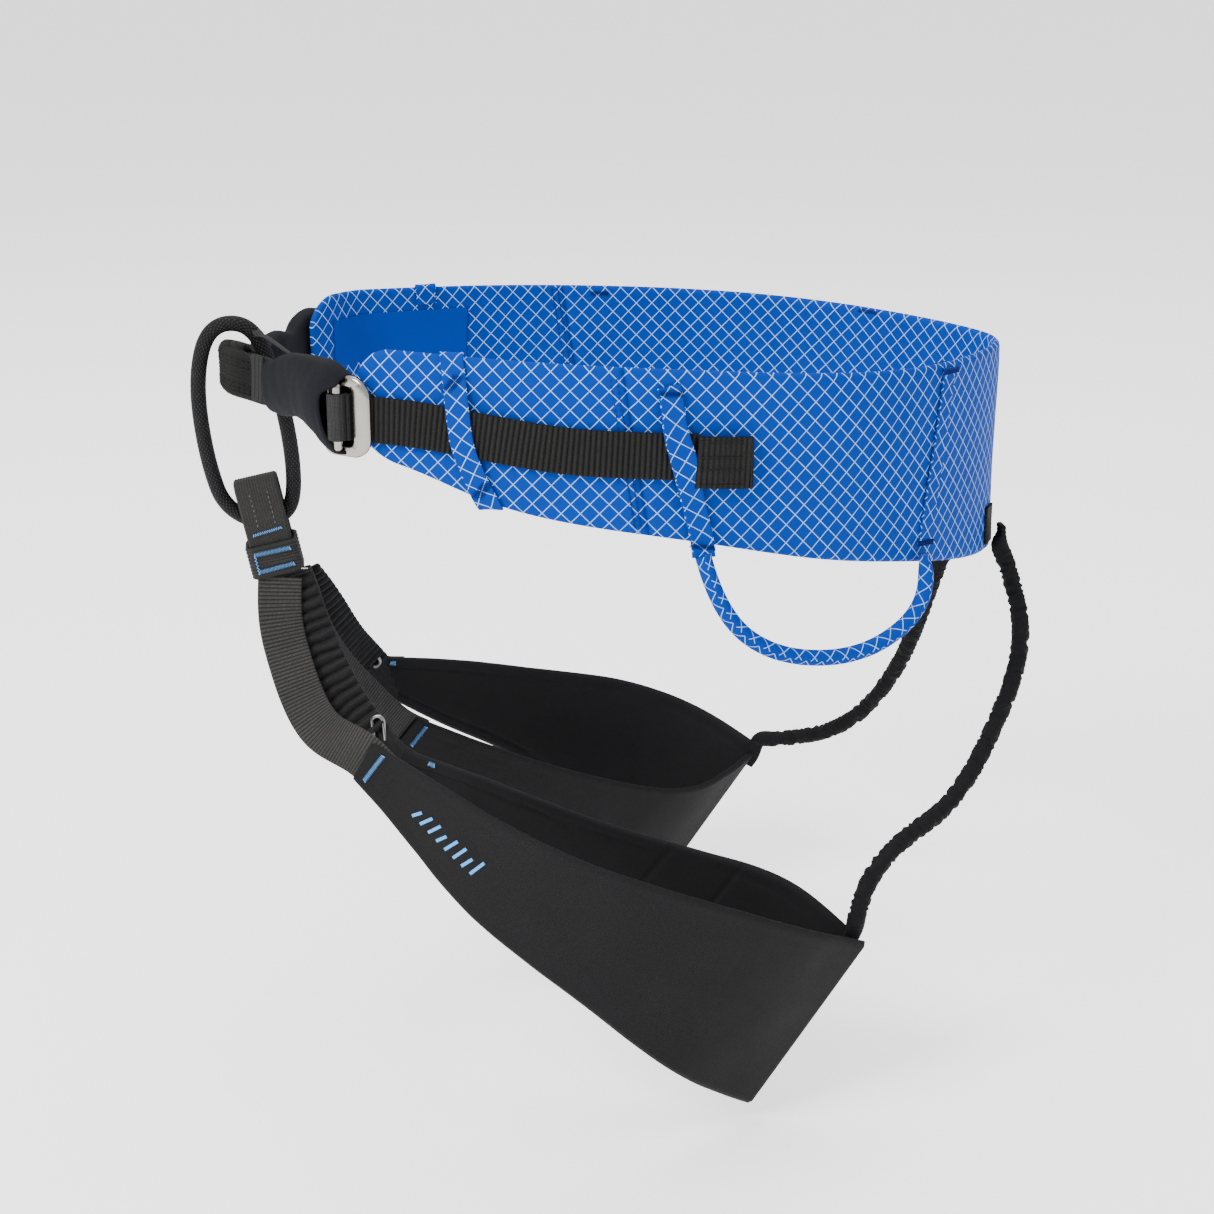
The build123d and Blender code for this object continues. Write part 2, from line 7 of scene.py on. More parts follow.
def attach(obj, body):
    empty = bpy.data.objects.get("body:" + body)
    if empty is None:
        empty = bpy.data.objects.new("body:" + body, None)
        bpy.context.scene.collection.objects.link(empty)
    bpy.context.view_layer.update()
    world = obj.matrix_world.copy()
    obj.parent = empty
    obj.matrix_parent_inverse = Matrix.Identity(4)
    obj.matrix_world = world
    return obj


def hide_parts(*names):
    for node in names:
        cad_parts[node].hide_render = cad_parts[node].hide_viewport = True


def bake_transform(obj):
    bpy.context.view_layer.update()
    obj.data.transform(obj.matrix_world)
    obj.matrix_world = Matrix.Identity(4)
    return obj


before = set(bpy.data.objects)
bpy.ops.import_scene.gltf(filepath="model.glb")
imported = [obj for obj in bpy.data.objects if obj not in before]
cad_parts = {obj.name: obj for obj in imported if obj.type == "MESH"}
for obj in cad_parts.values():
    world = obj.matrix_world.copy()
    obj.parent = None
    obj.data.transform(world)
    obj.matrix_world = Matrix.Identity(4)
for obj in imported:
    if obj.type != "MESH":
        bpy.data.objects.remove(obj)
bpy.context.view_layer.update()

# ---- Sizes in millimetres, in the same frame as the model: the wearer faces -X,
# the wearer's left side is -Y, and the origin is the middle of the waist.

MM = 0.001
SIDES = {"left": -1, "right": 1}

# Belt
BELT_OUTLINE = [
    (-172, 58), (-150, 76), (-120, 89.5), (-85, 101.5), (-50, 109), (-10, 112), (30, 108.5),
    (65, 98), (98, 78), (125, 52), (145, 24), (153, 0),
]
BELT_TOP = [(-175, 48.7), (-100, 45), (0, 40), (100, 35), (165, 31.7)]
BELT_LOWER_EDGE = [
    (-175, -5), (-148, 4), (-101, -11), (-65, -21), (-11, -30.5), (38, -41), (88, -51),
    (131, -62), (165, -70),
]
BELT_TOP_LIFT = {"left": 3.6, "right": 0.0}
RIGHT_WING_BEND = 8.0
BELT_THICKNESS = 3.8
BELT_RIM = 3.5
RIM_HALF = 0.35
WING_CORNER_TOP = 17.0
WING_CORNER_LOW = 18.0
WING_SEAM_TOP_X = -43
WING_SEAM_BOTTOM_X = -31
SEAM_LEAN = WING_SEAM_BOTTOM_X - WING_SEAM_TOP_X
SEAM_HEIGHT = 75
SEAM_PINCH = 1.35
SEAM_PINCH_REACH = 1.5
WING_FRONT_X = {"left": -147.2, "right": -170.5}
GRID_SPACING = 5.65
GRID_LINE = 0.31

# Webbing
WEBBING_WIDTH = 19.8
WEBBING_RIB = 2.3
STRAP_RIB = 1.75
GATHER_PITCH = 5.4
WEBBING_ROUTE = [
    (-143, 21), (-125, 20.1), (-108, 18), (-89, 15.1), (-65, 11.5), (-40, 9.6), (-20, 8.6),
    (-8, 8),
]

# Gear loops
GEAR_TUBE_ROUTE = [
    (-6, 117, -33.5), (1, 117, -60), (28, 114, -82), (72, 98, -88), (104, 83, -68),
    (98.5, 83, -47.5),
]
GEAR_TUBE_DIAMETER = 7.0

# Rope
ROPE_ROUTE = [
    (-190, 0, -44.5), (-205, 0, -41), (-213, 0, -14), (-216, 0, 22), (-209, 0, 47),
    (-190, 0, 47.5), (-181, 0, 24), (-175, 0, -6), (-174, 0, -33), (-180, 0, -43),
    (-189.7, 0, -44.6),
]
ROPE_DIAMETER = 6.6

# Risers
RISER_ROUTES = {
    "left": [
        (151.5, -25, -61), (160, -27, -82), (160, -44, -106), (144, -64, -133),
        (118, -86, -165), (86, -103, -176), (69, -112, -192), (65.5, -115, -209),
    ],
    "right": [
        (151.5, 25, -61), (140, 31, -84), (136, 50, -124), (131, 70, -158), (116, 91, -192),
        (92, 104, -206), (70, 113, -209),
    ],
}
RISER_DIAMETER = 8.0

# ---- Camera: at belt height, a little in front of the wearer's left side

CAMERA_AT = (-166.7, -996.2, 235.0)
CAMERA_WAY = (0.12887, 0.94201, -0.30984)
CAMERA_LENS = 66.3

camera_data = bpy.data.cameras.new("camera")
camera_data.lens = CAMERA_LENS
camera_data.sensor_width = 36.0
camera_data.clip_start = 0.05
camera_data.clip_end = 30.0
camera = bpy.data.objects.new("camera", camera_data)
camera.location = Vector(CAMERA_AT) * MM
camera.rotation_euler = Vector(CAMERA_WAY).to_track_quat("-Z", "Y").to_euler()
bpy.context.scene.collection.objects.link(camera)
bpy.context.scene.camera = camera


# ---- Lines and meshes


def smooth_line(points, count, even=True, chord=None):
    """A smooth line through points. Its own points are evenly spaced along it, or along the chords."""
    known = np.array(points, float)
    if chord is None:
        chord = np.linalg.norm(np.diff(known, axis=0), axis=1)
    at = np.concatenate([[0], np.cumsum(chord)])
    n = len(known)
    system = np.zeros((n, n))
    right = np.zeros((n, known.shape[1]))
    system[0, 0] = system[-1, -1] = 1
    for i in range(1, n - 1):
        system[i, i - 1] = chord[i - 1]
        system[i, i] = 2 * (chord[i - 1] + chord[i])
        system[i, i + 1] = chord[i]
        slope_after = (known[i + 1] - known[i]) / chord[i]
        slope_before = (known[i] - known[i - 1]) / chord[i - 1]
        right[i] = 6 * (slope_after - slope_before)
    bend = np.linalg.solve(system, right)
    where = np.linspace(0, at[-1], max(count, 40 * n))
    span = np.clip(np.searchsorted(at, where, side="right") - 1, 0, n - 2)
    h = chord[span][:, None]
    a = (at[span + 1] - where)[:, None]
    b = (where - at[span])[:, None]
    dense = (
        bend[span] * a**3 / (6 * h)
        + bend[span + 1] * b**3 / (6 * h)
        + (known[span] / h - bend[span] * h / 6) * a
        + (known[span + 1] / h - bend[span + 1] * h / 6) * b
    )
    if not even:
        pick = np.linspace(0, len(dense) - 1, count)
        return np.stack([np.interp(pick, np.arange(len(dense)), c) for c in dense.T], 1)
    length = np.concatenate([[0], np.cumsum(np.linalg.norm(np.diff(dense, axis=0), axis=1))])
    wanted = np.linspace(0, length[-1], count)
    return np.stack([np.interp(wanted, length, c) for c in dense.T], 1)


def lengths_along(line):
    """Distance along a line at each of its points."""
    return np.concatenate([[0], np.cumsum(np.linalg.norm(np.diff(line, axis=0), axis=1))])


def unit(vectors):
    """Vectors at length one."""
    size = np.linalg.norm(vectors, axis=-1, keepdims=True)
    return vectors / np.maximum(size, 1e-9)


def tangents(line):
    """Way ahead at each point of a line."""
    return unit(np.gradient(line, axis=0))


def wobble(values, scale, seed=0.0):
    """Smooth noise from -1 to 1 at each row of an array of points."""
    shift = Vector((seed, 0.7 * seed, 0))
    out = [noise.noise(Vector(p * scale) + shift) for p in values.reshape(-1, 3)]
    return np.array(out).reshape(values.shape[:-1])


def step_up(value, low, high):
    """0 below low, 1 above high, smooth between."""
    t = np.clip((value - low) / (high - low), 0, 1)
    return t * t * (3 - 2 * t)


class Grid:
    """Rows and columns of points that become one piece. Several sets of them may be joined in it."""

    def __init__(self):
        self.points = []
        self.faces = []
        self.coordinates = []

    def add(self, points, coordinates=None, wrap=False, caps=False):
        """Add rows and columns of points. coordinates has one more column than points if it wraps."""
        rows, columns = points.shape[:2]
        first = len(self.points)
        self.points.extend((points.reshape(-1, 3) * MM).tolist())
        if coordinates is None:
            along = lengths_along(points.mean(axis=1)) * MM
            around = lengths_along(np.vstack([points[rows // 2], points[rows // 2][:1]])) * MM
            coordinates = np.stack(np.meshgrid(along, around, indexing="ij"), -1)
        last = columns if wrap else columns - 1
        for i in range(rows - 1):
            for j in range(last):
                k = (j + 1) % columns
                corners = [(i, j), (i, k), (i + 1, k), (i + 1, j)]
                self.faces.append([first + r * columns + c for r, c in corners])
                u = [(i, j), (i, j + 1), (i + 1, j + 1), (i + 1, j)]
                self.coordinates.append([coordinates[r, c] for r, c in u])
        if caps:
            for row, order in ((0, 1), (rows - 1, -1)):
                ring = list(range(columns))[::-order]
                self.faces.append([first + row * columns + c for c in ring])
                self.coordinates.append([coordinates[row, c] for c in ring])

    def piece(self, name, material, slot, body=None, node=None):
        """The finished object. It rides on a body unless it is blended, and may stand for a CAD node."""
        mesh = bpy.data.meshes.new(name)
        mesh.from_pydata(self.points, [], self.faces)
        layer = mesh.uv_layers.new(name="UVMap")
        flat = np.array([c for face in self.coordinates for c in face], np.float32)
        layer.data.foreach_set("uv", flat.ravel())
        mesh.materials.append(material)
        mesh.polygons.foreach_set("use_smooth", [True] * len(mesh.polygons))
        shape = bmesh.new()
        shape.from_mesh(mesh)
        bmesh.ops.remove_doubles(shape, verts=shape.verts, dist=1e-7)
        bmesh.ops.recalc_face_normals(shape, faces=shape.faces)
        shape.to_mesh(mesh)
        shape.free()
        obj = bpy.data.objects.new(name, mesh)
        bpy.context.scene.collection.objects.link(obj)
        if body is not None:
            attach(obj, body)
        if node is not None:
            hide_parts(node)
        return obj


def nurbs_line(route, resolution=16):
    """The smooth line of a cord: the points of a NURBS spline along its route, in millimetres."""
    data = bpy.data.curves.new("route", "CURVE")
    data.dimensions = "3D"
    data.resolution_u = resolution
    spline = data.splines.new("NURBS")
    spline.points.add(len(route) - 1)
    for point, place in zip(spline.points, route):
        point.co = (*(np.array(place) * MM), 1)
    spline.order_u = 3
    spline.use_endpoint_u = True
    holder = bpy.data.objects.new("route", data)
    bpy.context.scene.collection.objects.link(holder)
    mesh = bpy.data.meshes.new_from_object(holder)
    line = np.array([v.co[:] for v in mesh.vertices]) / MM
    bpy.data.objects.remove(holder)
    bpy.data.meshes.remove(mesh)
    return line


def resample(line, count):
    """The same line with evenly spaced points."""
    at = lengths_along(line)
    wanted = np.linspace(0, at[-1], count)
    return np.stack([np.interp(wanted, at, c) for c in line.T], 1)


def frames_along(line, first_side):
    """Two directions square to a line at each point, without twist."""
    ahead = tangents(line)
    sides = np.zeros_like(line)
    side = np.array(first_side, float)
    for i, way in enumerate(ahead):
        side = side - way * side.dot(way)
        side = side / np.linalg.norm(side)
        sides[i] = side
    return sides, np.cross(ahead, sides)


def tube(grid, line, radius, around=20, first_side=(0, 0, 1), caps=True):
    """A tube round a line. radius is a number, or an array of (points, around)."""
    sides, ups = frames_along(line, first_side)
    angle = np.linspace(0, 2 * np.pi, around, endpoint=False)
    size = np.broadcast_to(np.asarray(radius, float), (len(line), around))
    out = sides[:, None] * np.cos(angle)[None, :, None] + ups[:, None] * np.sin(angle)[None, :, None]
    points = line[:, None] + out * size[..., None]
    along = lengths_along(line) * MM
    turn = np.linspace(0, 2 * np.pi * float(np.mean(size)), around + 1) * MM
    coordinates = np.stack(np.meshgrid(along, turn, indexing="ij"), -1)
    grid.add(points, coordinates, wrap=True, caps=caps)


def band_section(width, thickness, columns):
    """A flat band's outline, as places across it and heights above its middle."""
    half = width / 2
    edge = thickness / 2
    turn = np.linspace(0, np.pi, 6)[1:-1]
    across = np.linspace(-half + edge, half - edge, columns)
    outer = np.stack([across, np.full(columns, edge)], 1)
    inner = outer[::-1] * [1, -1]
    right = np.stack([half - edge + edge * np.sin(turn), edge * np.cos(turn)], 1)
    left = -right
    return np.vstack([outer, right, inner, left])


def band(grid, middles, ups, width, thickness, relief=None, columns=14, caps=True):
    """A flat strap along middles, facing ups. Its width and thickness may change along it.

    relief(along, across) lifts both faces.
    """
    ahead = tangents(middles)
    across = unit(np.cross(ups, ahead))
    out = unit(np.cross(ahead, across))
    widths = np.broadcast_to(np.asarray(width, float), (len(middles),))
    depths = np.broadcast_to(np.asarray(thickness, float), (len(middles),))
    along = lengths_along(middles)
    rows = []
    uv = []
    for i in range(len(middles)):
        section = band_section(widths[i], depths[i], columns)
        a = section[:, 0]
        n = section[:, 1].copy()
        if relief is not None:
            face = np.sign(n) * step_up(np.abs(n), 0.0, 0.3 * depths[i])
            n = n + face * relief(along[i], a)
        rows.append(middles[i] + across[i] * a[:, None] + out[i] * n[:, None])
        round_trip = lengths_along(np.vstack([section, section[:1]]))
        uv.append(np.stack([np.full(len(section) + 1, along[i]), round_trip - widths[i] / 2], 1))
    grid.add(np.array(rows), np.array(uv) * MM, wrap=True, caps=caps)


def ribs(pitch, height):
    """Ribs that run across a webbing."""

    def relief(along, across):
        return height * (np.abs(np.sin(np.pi * along / pitch)) - 0.5) * np.ones_like(across)

    return relief


def lengthwise(pitch, height):
    """Fine ribs that run along a webbing."""

    def relief(along, across):
        return height * np.cos(2 * np.pi * across / pitch) * np.ones_like(across)

    return relief


def turn_outwards(ups, middles, centre):
    """Turn round the directions that point towards a centre."""
    ups[((middles - centre) * ups).sum(axis=1) < 0] *= -1


def threads(grid, line, radius=0.3, around=6):
    """One run of thread."""
    tube(grid, np.array(line, float), radius, around, first_side=(0.3, 0.2, 0.93))


def bar_tack(grid, start, end, up, width=1.3, pitch=0.75, radius=0.32):
    """A dense zigzag of thread from start to end, standing on a surface whose outward side is up."""
    start = np.array(start, float)
    end = np.array(end, float)
    up = unit(np.array(up, float))
    ahead = unit(end - start)
    side = np.cross(up, ahead)
    count = max(4, int(np.linalg.norm(end - start) / pitch))
    points = []
    for i in range(2 * count + 1):
        sway = width / 2 if i % 2 else -width / 2
        points.append(start + (end - start) * i / (2 * count) + side * sway + up * 0.25)
    threads(grid, points, radius)


def stitch_row(grid, line, ups, length=2.0, gap=1.0, radius=0.26):
    """Single stitches along a line on a surface."""
    at = lengths_along(line)
    start = gap / 2
    while start + length < at[-1]:
        spots = np.linspace(start, start + length, 5)
        dash = np.stack([np.interp(spots, at, c) for c in line.T], 1)
        rise = np.stack([np.interp(spots, at, c) for c in ups.T], 1)
        lift = np.array([-0.25, 0.1, 0.18, 0.1, -0.25])[:, None]
        threads(grid, dash + rise * lift, radius, 5)
        start += length + gap


# ---- Materials


class Nodes:
    """A material's node tree, with short names for what is used often."""

    def __init__(self, name):
        self.material = bpy.data.materials.new(name)
        self.material.use_nodes = True
        self.tree = self.material.node_tree
        self.surface = self.tree.nodes["Principled BSDF"]

    def make(self, kind, **settings):
        made = self.tree.nodes.new(kind)
        for key, value in settings.items():
            setattr(made, key, value)
        return made

    def join(self, source, target):
        self.tree.links.new(source, target)

    def maths(self, operation, first, second=None, third=None, clamp=False):
        made = self.make("ShaderNodeMath", operation=operation, use_clamp=clamp)
        for socket, value in zip(made.inputs, (first, second, third)):
            if value is None:
                continue
            if isinstance(value, (int, float)):
                socket.default_value = value
            else:
                self.join(value, socket)
        return made.outputs[0]

    def places(self):
        """Distance along and across the cloth, in millimetres."""
        uv = self.make("ShaderNodeUVMap", uv_map="UVMap")
        parts = self.make("ShaderNodeSeparateXYZ")
        self.join(uv.outputs[0], parts.inputs[0])
        return (
            self.maths("MULTIPLY", parts.outputs[0], 1000.0),
            self.maths("MULTIPLY", parts.outputs[1], 1000.0),
        )

    def noise(self, scale, detail=3.0, roughness=0.5):
        """Noise over the object's own shape. scale is in cycles per metre."""
        where = self.make("ShaderNodeTexCoord")
        made = self.make("ShaderNodeTexNoise")
        made.inputs["Scale"].default_value = scale
        made.inputs["Detail"].default_value = detail
        made.inputs["Roughness"].default_value = roughness
        self.join(where.outputs["Object"], made.inputs["Vector"])
        return made.outputs["Fac"]

    def wave(self, value, period):
        """0 to 1 to 0 along a value, once each period."""
        return self.maths("MULTIPLY", self.maths("PINGPONG", value, period / 2), 2 / period)

    def colour_mix(self, share, first, second):
        made = self.make("ShaderNodeMix", data_type="RGBA")
        self.join(share, made.inputs["Factor"])
        for socket, value in ((made.inputs["A"], first), (made.inputs["B"], second)):
            if isinstance(value, tuple):
                socket.default_value = (*value, 1)
            else:
                self.join(value, socket)
        return made.outputs["Result"]

    def bump(self, height, strength, distance, below=None):
        made = self.make("ShaderNodeBump")
        made.inputs["Strength"].default_value = strength
        made.inputs["Distance"].default_value = distance
        self.join(height, made.inputs["Height"])
        if below is not None:
            self.join(below, made.inputs["Normal"])
        return made.outputs[0]

    def finish(self, colour, roughness, normal=None, metallic=0.0, specular=0.5):
        s = self.surface
        if isinstance(colour, tuple):
            s.inputs["Base Color"].default_value = (*colour, 1)
        else:
            self.join(colour, s.inputs["Base Color"])
        s.inputs["Roughness"].default_value = roughness
        s.inputs["Metallic"].default_value = metallic
        s.inputs["Specular IOR Level"].default_value = specular
        if normal is not None:
            self.join(normal, s.inputs["Normal"])
        return self.material


BLUE = (0.0, 0.032, 0.26)
PALE_BLUE = (0.0, 0.03, 0.26)
GRID_WHITE = (0.36, 0.58, 0.90)
THREAD_LIGHT = (0.16, 0.42, 0.85)
THREAD_DARK = (0.003, 0.016, 0.15)


HALF_ROOT = 0.7071  # sine of the grid's 45 degrees
BRAID_PITCH = 2.3
BRAID_SLOPE = 1.3


def ripstop(name, base, with_grid=True):
    """Blue cloth with a fine white grid set at 45 degrees."""
    n = Nodes(name)
    u, v = n.places()
    cloth = n.noise(900, 2)
    broad = n.noise(22, 3)
    shade = n.colour_mix(
        n.maths("MULTIPLY", n.maths("ADD", n.maths("MULTIPLY", cloth, 0.35), broad), 0.55),
        tuple(c * 0.78 for c in base),
        tuple(min(1, c * 1.18) for c in base),
    )
    height = n.maths("MULTIPLY", cloth, 0.25)
    colour = shade
    if with_grid:
        ways = []
        for sign in (1, -1):
            rise = n.maths("MULTIPLY", v, HALF_ROOT * sign)
            slant = n.maths("ADD", n.maths("MULTIPLY", u, HALF_ROOT), rise)
            near = n.maths("PINGPONG", slant, GRID_SPACING / 2)
            half = GRID_LINE / 2
            fade = n.maths("DIVIDE", n.maths("SUBTRACT", near, half * 0.5), half)
            ways.append(n.maths("SUBTRACT", 1.0, fade, clamp=True))
        lines = n.maths("MAXIMUM", *ways)
        strength = n.maths("ADD", 0.55, n.maths("MULTIPLY", n.noise(160, 1), 0.5), clamp=True)
        lines = n.maths("MULTIPLY", lines, strength)
        colour = n.colour_mix(lines, shade, GRID_WHITE)
        height = n.maths("ADD", height, n.maths("MULTIPLY", lines, 0.6))
    fine = n.bump(height, 0.35, 0.0003)
    soft = n.bump(broad, 0.25, 0.0016, fine)
    return n.finish(colour, 0.7, soft, specular=0.06)


def black_weave(name, dark, light, along_pitch, across_pitch, strength=0.5, roughness=0.7, shaded_rib_pitch=None):
    """Black woven cloth or webbing, with painted shade in the grooves of its ribs when a rib pitch is
    given. The pitches of its weave and of its ribs are in millimetres.
    """
    n = Nodes(name)
    u, v = n.places()
    warp = n.wave(u, along_pitch)
    weft = n.wave(v, across_pitch)
    checks = n.maths("MULTIPLY", warp, weft)
    fuzz = n.noise(1400, 2)
    woven = n.maths("ADD", n.maths("MULTIPLY", warp, 0.5), n.maths("MULTIPLY", weft, 0.5))
    height = n.maths("ADD", woven, fuzz)
    share = n.maths("MULTIPLY", n.maths("ADD", checks, fuzz), 0.55, clamp=True)
    worn = n.maths("MULTIPLY", n.noise(45, 4), 0.5)
    share = n.maths("MULTIPLY", share, n.maths("ADD", 0.7, worn))
    # Painted shade and painted highlight: the colour is darkened in the grooves between the ribs and
    # lightened on their crests.
    if shaded_rib_pitch is not None:
        turn = n.maths("SINE", n.maths("MULTIPLY", u, np.pi / shaded_rib_pitch))
        painted_rib_shading = n.maths("POWER", n.maths("ABSOLUTE", turn), 0.8)
        share = n.maths("MULTIPLY", share, n.maths("ADD", 0.08, n.maths("MULTIPLY", painted_rib_shading, 1.2)))
    colour = n.colour_mix(share, dark, light)
    normal = n.bump(height, strength, 0.0002)
    return n.finish(colour, roughness, normal, specular=0.1)


def rope_cover(name):
    """Braided cover: crossing strands with small lighter flecks."""
    n = Nodes(name)
    u, v = n.places()
    across = n.maths("MULTIPLY", v, BRAID_SLOPE)
    rising = n.wave(n.maths("ADD", u, across), BRAID_PITCH)
    falling = n.wave(n.maths("SUBTRACT", u, across), BRAID_PITCH)
    strands = n.maths("MULTIPLY", rising, falling)
    flecks = n.maths("MULTIPLY", n.maths("POWER", strands, 2.0), n.noise(500, 1))
    share = n.maths("MULTIPLY", flecks, 2.2, clamp=True)
    colour = n.colour_mix(share, (0.0008, 0.0008, 0.001), (0.042, 0.042, 0.046))
    normal = n.bump(strands, 0.9, 0.0006)
    return n.finish(colour, 0.6, normal, specular=0.15)


def metal(name, colour, roughness, scratch=0.2):
    """Worn polished metal."""
    n = Nodes(name)
    marks = n.noise(260, 5, 0.65)
    tone = n.colour_mix(marks, tuple(c * 0.8 for c in colour), colour)
    normal = n.bump(n.noise(900, 3), scratch, 0.00008)
    return n.finish(tone, roughness, normal, metallic=1.0)


def thread(name, colour):
    """Polyester thread."""
    n = Nodes(name)
    fuzz = n.noise(2500, 2)
    tone = n.colour_mix(fuzz, tuple(c * 0.65 for c in colour), colour)
    return n.finish(tone, 0.6, n.bump(fuzz, 0.4, 0.0001), specular=0.15)


RIPSTOP = ripstop("ripstop", BLUE)
PLAIN_BLUE = ripstop("plain_blue", PALE_BLUE, with_grid=False)
WEBBING = black_weave(
    "webbing", (0.0012, 0.0012, 0.0012), (0.024, 0.0235, 0.023), 0.55, 0.55, shaded_rib_pitch=WEBBING_RIB
)
WEBBING_GREY = black_weave("webbing_grey", (0.004, 0.004, 0.004), (0.045, 0.045, 0.046), 0.55, 0.55, 0.7)
STRAP_WEBBING = black_weave(
    "strap_webbing", (0.002, 0.002, 0.002), (0.064, 0.062, 0.060), 0.6, 0.6, 0.7, shaded_rib_pitch=STRAP_RIB
)
TIE_IN_WEBBING = black_weave("tie_in_webbing", (0.002, 0.002, 0.002), (0.024, 0.023, 0.022), 0.7, 0.9, 0.8)
FLAT_WEBBING = black_weave("flat_webbing", (0.004, 0.004, 0.004), (0.048, 0.046, 0.044), 0.7, 1.25, 0.8)
ELASTIC = black_weave("elastic", (0.0015, 0.0015, 0.0018), (0.024, 0.024, 0.025), 0.6, 0.8, 0.5)
RISER_CLOTH = black_weave("riser_cloth", (0.0015, 0.0015, 0.002), (0.009, 0.009, 0.010), 0.5, 0.5, 0.4)
LEG_SHELL = black_weave("leg_shell", (0.0018, 0.0018, 0.0021), (0.0145, 0.0142, 0.0152), 0.75, 0.75, 0.7)
LEG_LINING = black_weave("leg_lining", (0.0032, 0.0032, 0.0036), (0.0125, 0.0125, 0.0138), 0.5, 0.5, 0.3)
SLEEVE = black_weave("sleeve", (0.002, 0.0023, 0.0032), (0.010, 0.011, 0.015), 0.6, 0.6, 0.35, 0.8)
ROPE = rope_cover("rope")
BUCKLE_METAL = metal("buckle_metal", (0.32, 0.30, 0.275), 0.2)
HOOK_METAL = metal("hook_metal", (0.26, 0.255, 0.25), 0.3)
LIGHT_THREAD = thread("light_thread", THREAD_LIGHT)
DARK_THREAD = thread("dark_thread", THREAD_DARK)
BLACK_THREAD = thread("black_thread", (0.009, 0.009, 0.009))
WHITE_THREAD = thread("white_thread", (0.6, 0.62, 0.65))
PRINT_BLUE = thread("print_blue", (0.09, 0.34, 0.78))
GREY_THREAD = thread("grey_thread", (0.10, 0.10, 0.11))

# ---- Cords: rope loop, risers

ROPE_COVER_EXTRA = 0.2
RISER_COVER_EXTRA = 0.55

rope_line = resample(nurbs_line(ROPE_ROUTE), 260)
rope_grid = Grid()
tube(rope_grid, rope_line, ROPE_DIAMETER / 2 + ROPE_COVER_EXTRA, 24, first_side=(0, 1, 0))
rope = rope_grid.piece("rope_loop", ROPE, "rope", "rope_loop", "rope_belay_loop")

for name, side in SIDES.items():
    line = resample(nurbs_line(RISER_ROUTES[name]), 420)
    at = lengths_along(line)
    turn = np.linspace(0, 2 * np.pi, 30, endpoint=False)
    spots = np.stack(
        np.broadcast_arrays(at[:, None] * 0.33, np.cos(turn) * 0.75, np.sin(turn) * 0.75 + 5 * side), -1
    )
    gathers = wobble(spots, 1.0, 3.1)
    fine = wobble(spots * [2.6, 1.6, 1.6], 1.0, 9.4)
    crease = -np.abs(gathers) * 1.9 - np.abs(fine) * 0.8
    ends = step_up(at, 0, 7) * step_up(at[-1] - at, 0, 7)
    radius = RISER_DIAMETER / 2 + RISER_COVER_EXTRA + crease * ends[:, None] - 0.7 * (1 - ends[:, None])
    riser_grid = Grid()
    tube(riser_grid, line, radius, 30, first_side=(0, 1, 0))
    riser = riser_grid.piece(f"riser_{name}_sleeve", RISER_CLOTH, "black_elastic", node=f"riser_{name}")
    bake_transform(riser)

# ---- Belt

mirrored_outline = [(x, -y) for x, y in reversed(BELT_OUTLINE[:-1])]
PLAN_MIDDLE = 900  # index of the plan's point at the middle of the back
PLAN = smooth_line(BELT_OUTLINE + mirrored_outline, 2 * PLAN_MIDDLE + 1)
PLAN_AT = lengths_along(PLAN)
PLAN_AHEAD = tangents(PLAN)
PLAN_OUT = np.stack([-PLAN_AHEAD[:, 1], PLAN_AHEAD[:, 0]], 1)
TOP_LINE = smooth_line(BELT_TOP, 400)
LOWER_LINE = smooth_line(BELT_LOWER_EDGE, 400)


def plan_station(x, side):
    """How far round the belt a place is, from the right front."""
    half = slice(0, PLAN_MIDDLE + 1) if side > 0 else slice(PLAN_MIDDLE, None)
    places = PLAN[half, 0] if side > 0 else PLAN[half, 0][::-1]
    stations = PLAN_AT[half] if side > 0 else PLAN_AT[half][::-1]
    return np.interp(x, places, stations)


def on_belt(station, out, z):
    """Points on the belt at stations round it, distances out from its outer face, and heights."""
    station, out, z = np.broadcast_arrays(np.asarray(station, float), out, z)
    x, y = (np.interp(station, PLAN_AT, c) for c in PLAN.T)
    nx, ny = (np.interp(station, PLAN_AT, c) for c in PLAN_OUT.T)
    return np.stack([x + nx * out, y + ny * out, z], -1)


def out_of_belt(station):
    """The belt's outward side at stations round it."""
    nx, ny = (np.interp(station, PLAN_AT, c) for c in PLAN_OUT.T)
    return unit(np.stack([nx, ny, np.zeros_like(nx)], -1))


def belt_heights(station):
    """Upper and lower edge of the belt at stations round it."""
    x = np.interp(station, PLAN_AT, PLAN[:, 0])
    lift = np.where(station > PLAN_AT[PLAN_MIDDLE], BELT_TOP_LIFT["left"], BELT_TOP_LIFT["right"])
    return np.interp(x, *TOP_LINE.T) + lift * (1 - step_up(x, -30, 120)), np.interp(x, *LOWER_LINE.T)


def wing_bend(station):
    """How far the front of the right wing bends inwards, behind its sleeve."""
    x = np.interp(station, PLAN_AT, PLAN[:, 0])
    return np.where(station > PLAN_AT[PLAN_MIDDLE], 0.0, RIGHT_WING_BEND * (1 - step_up(x, -166, -138)))


def belt_section(rows):
    """Across the belt: share of the height, and which face, going up the outside and down the inside."""
    rise = (1 - np.cos(np.linspace(0, np.pi, rows))) / 2
    rise = 0.35 * rise + 0.65 * np.linspace(0, 1, rows)
    outer = np.stack([rise, np.ones(rows)], 1)
    inner = np.stack([rise[::-1], -np.ones(rows)], 1)
    return np.vstack([outer, inner])


def corner_drop(radius, away):
    """How far a round corner's edge lies inside the straight edge, at a distance from the corner's end."""
    return radius - np.sqrt(max(0, radius**2 - max(0, radius - away) ** 2))


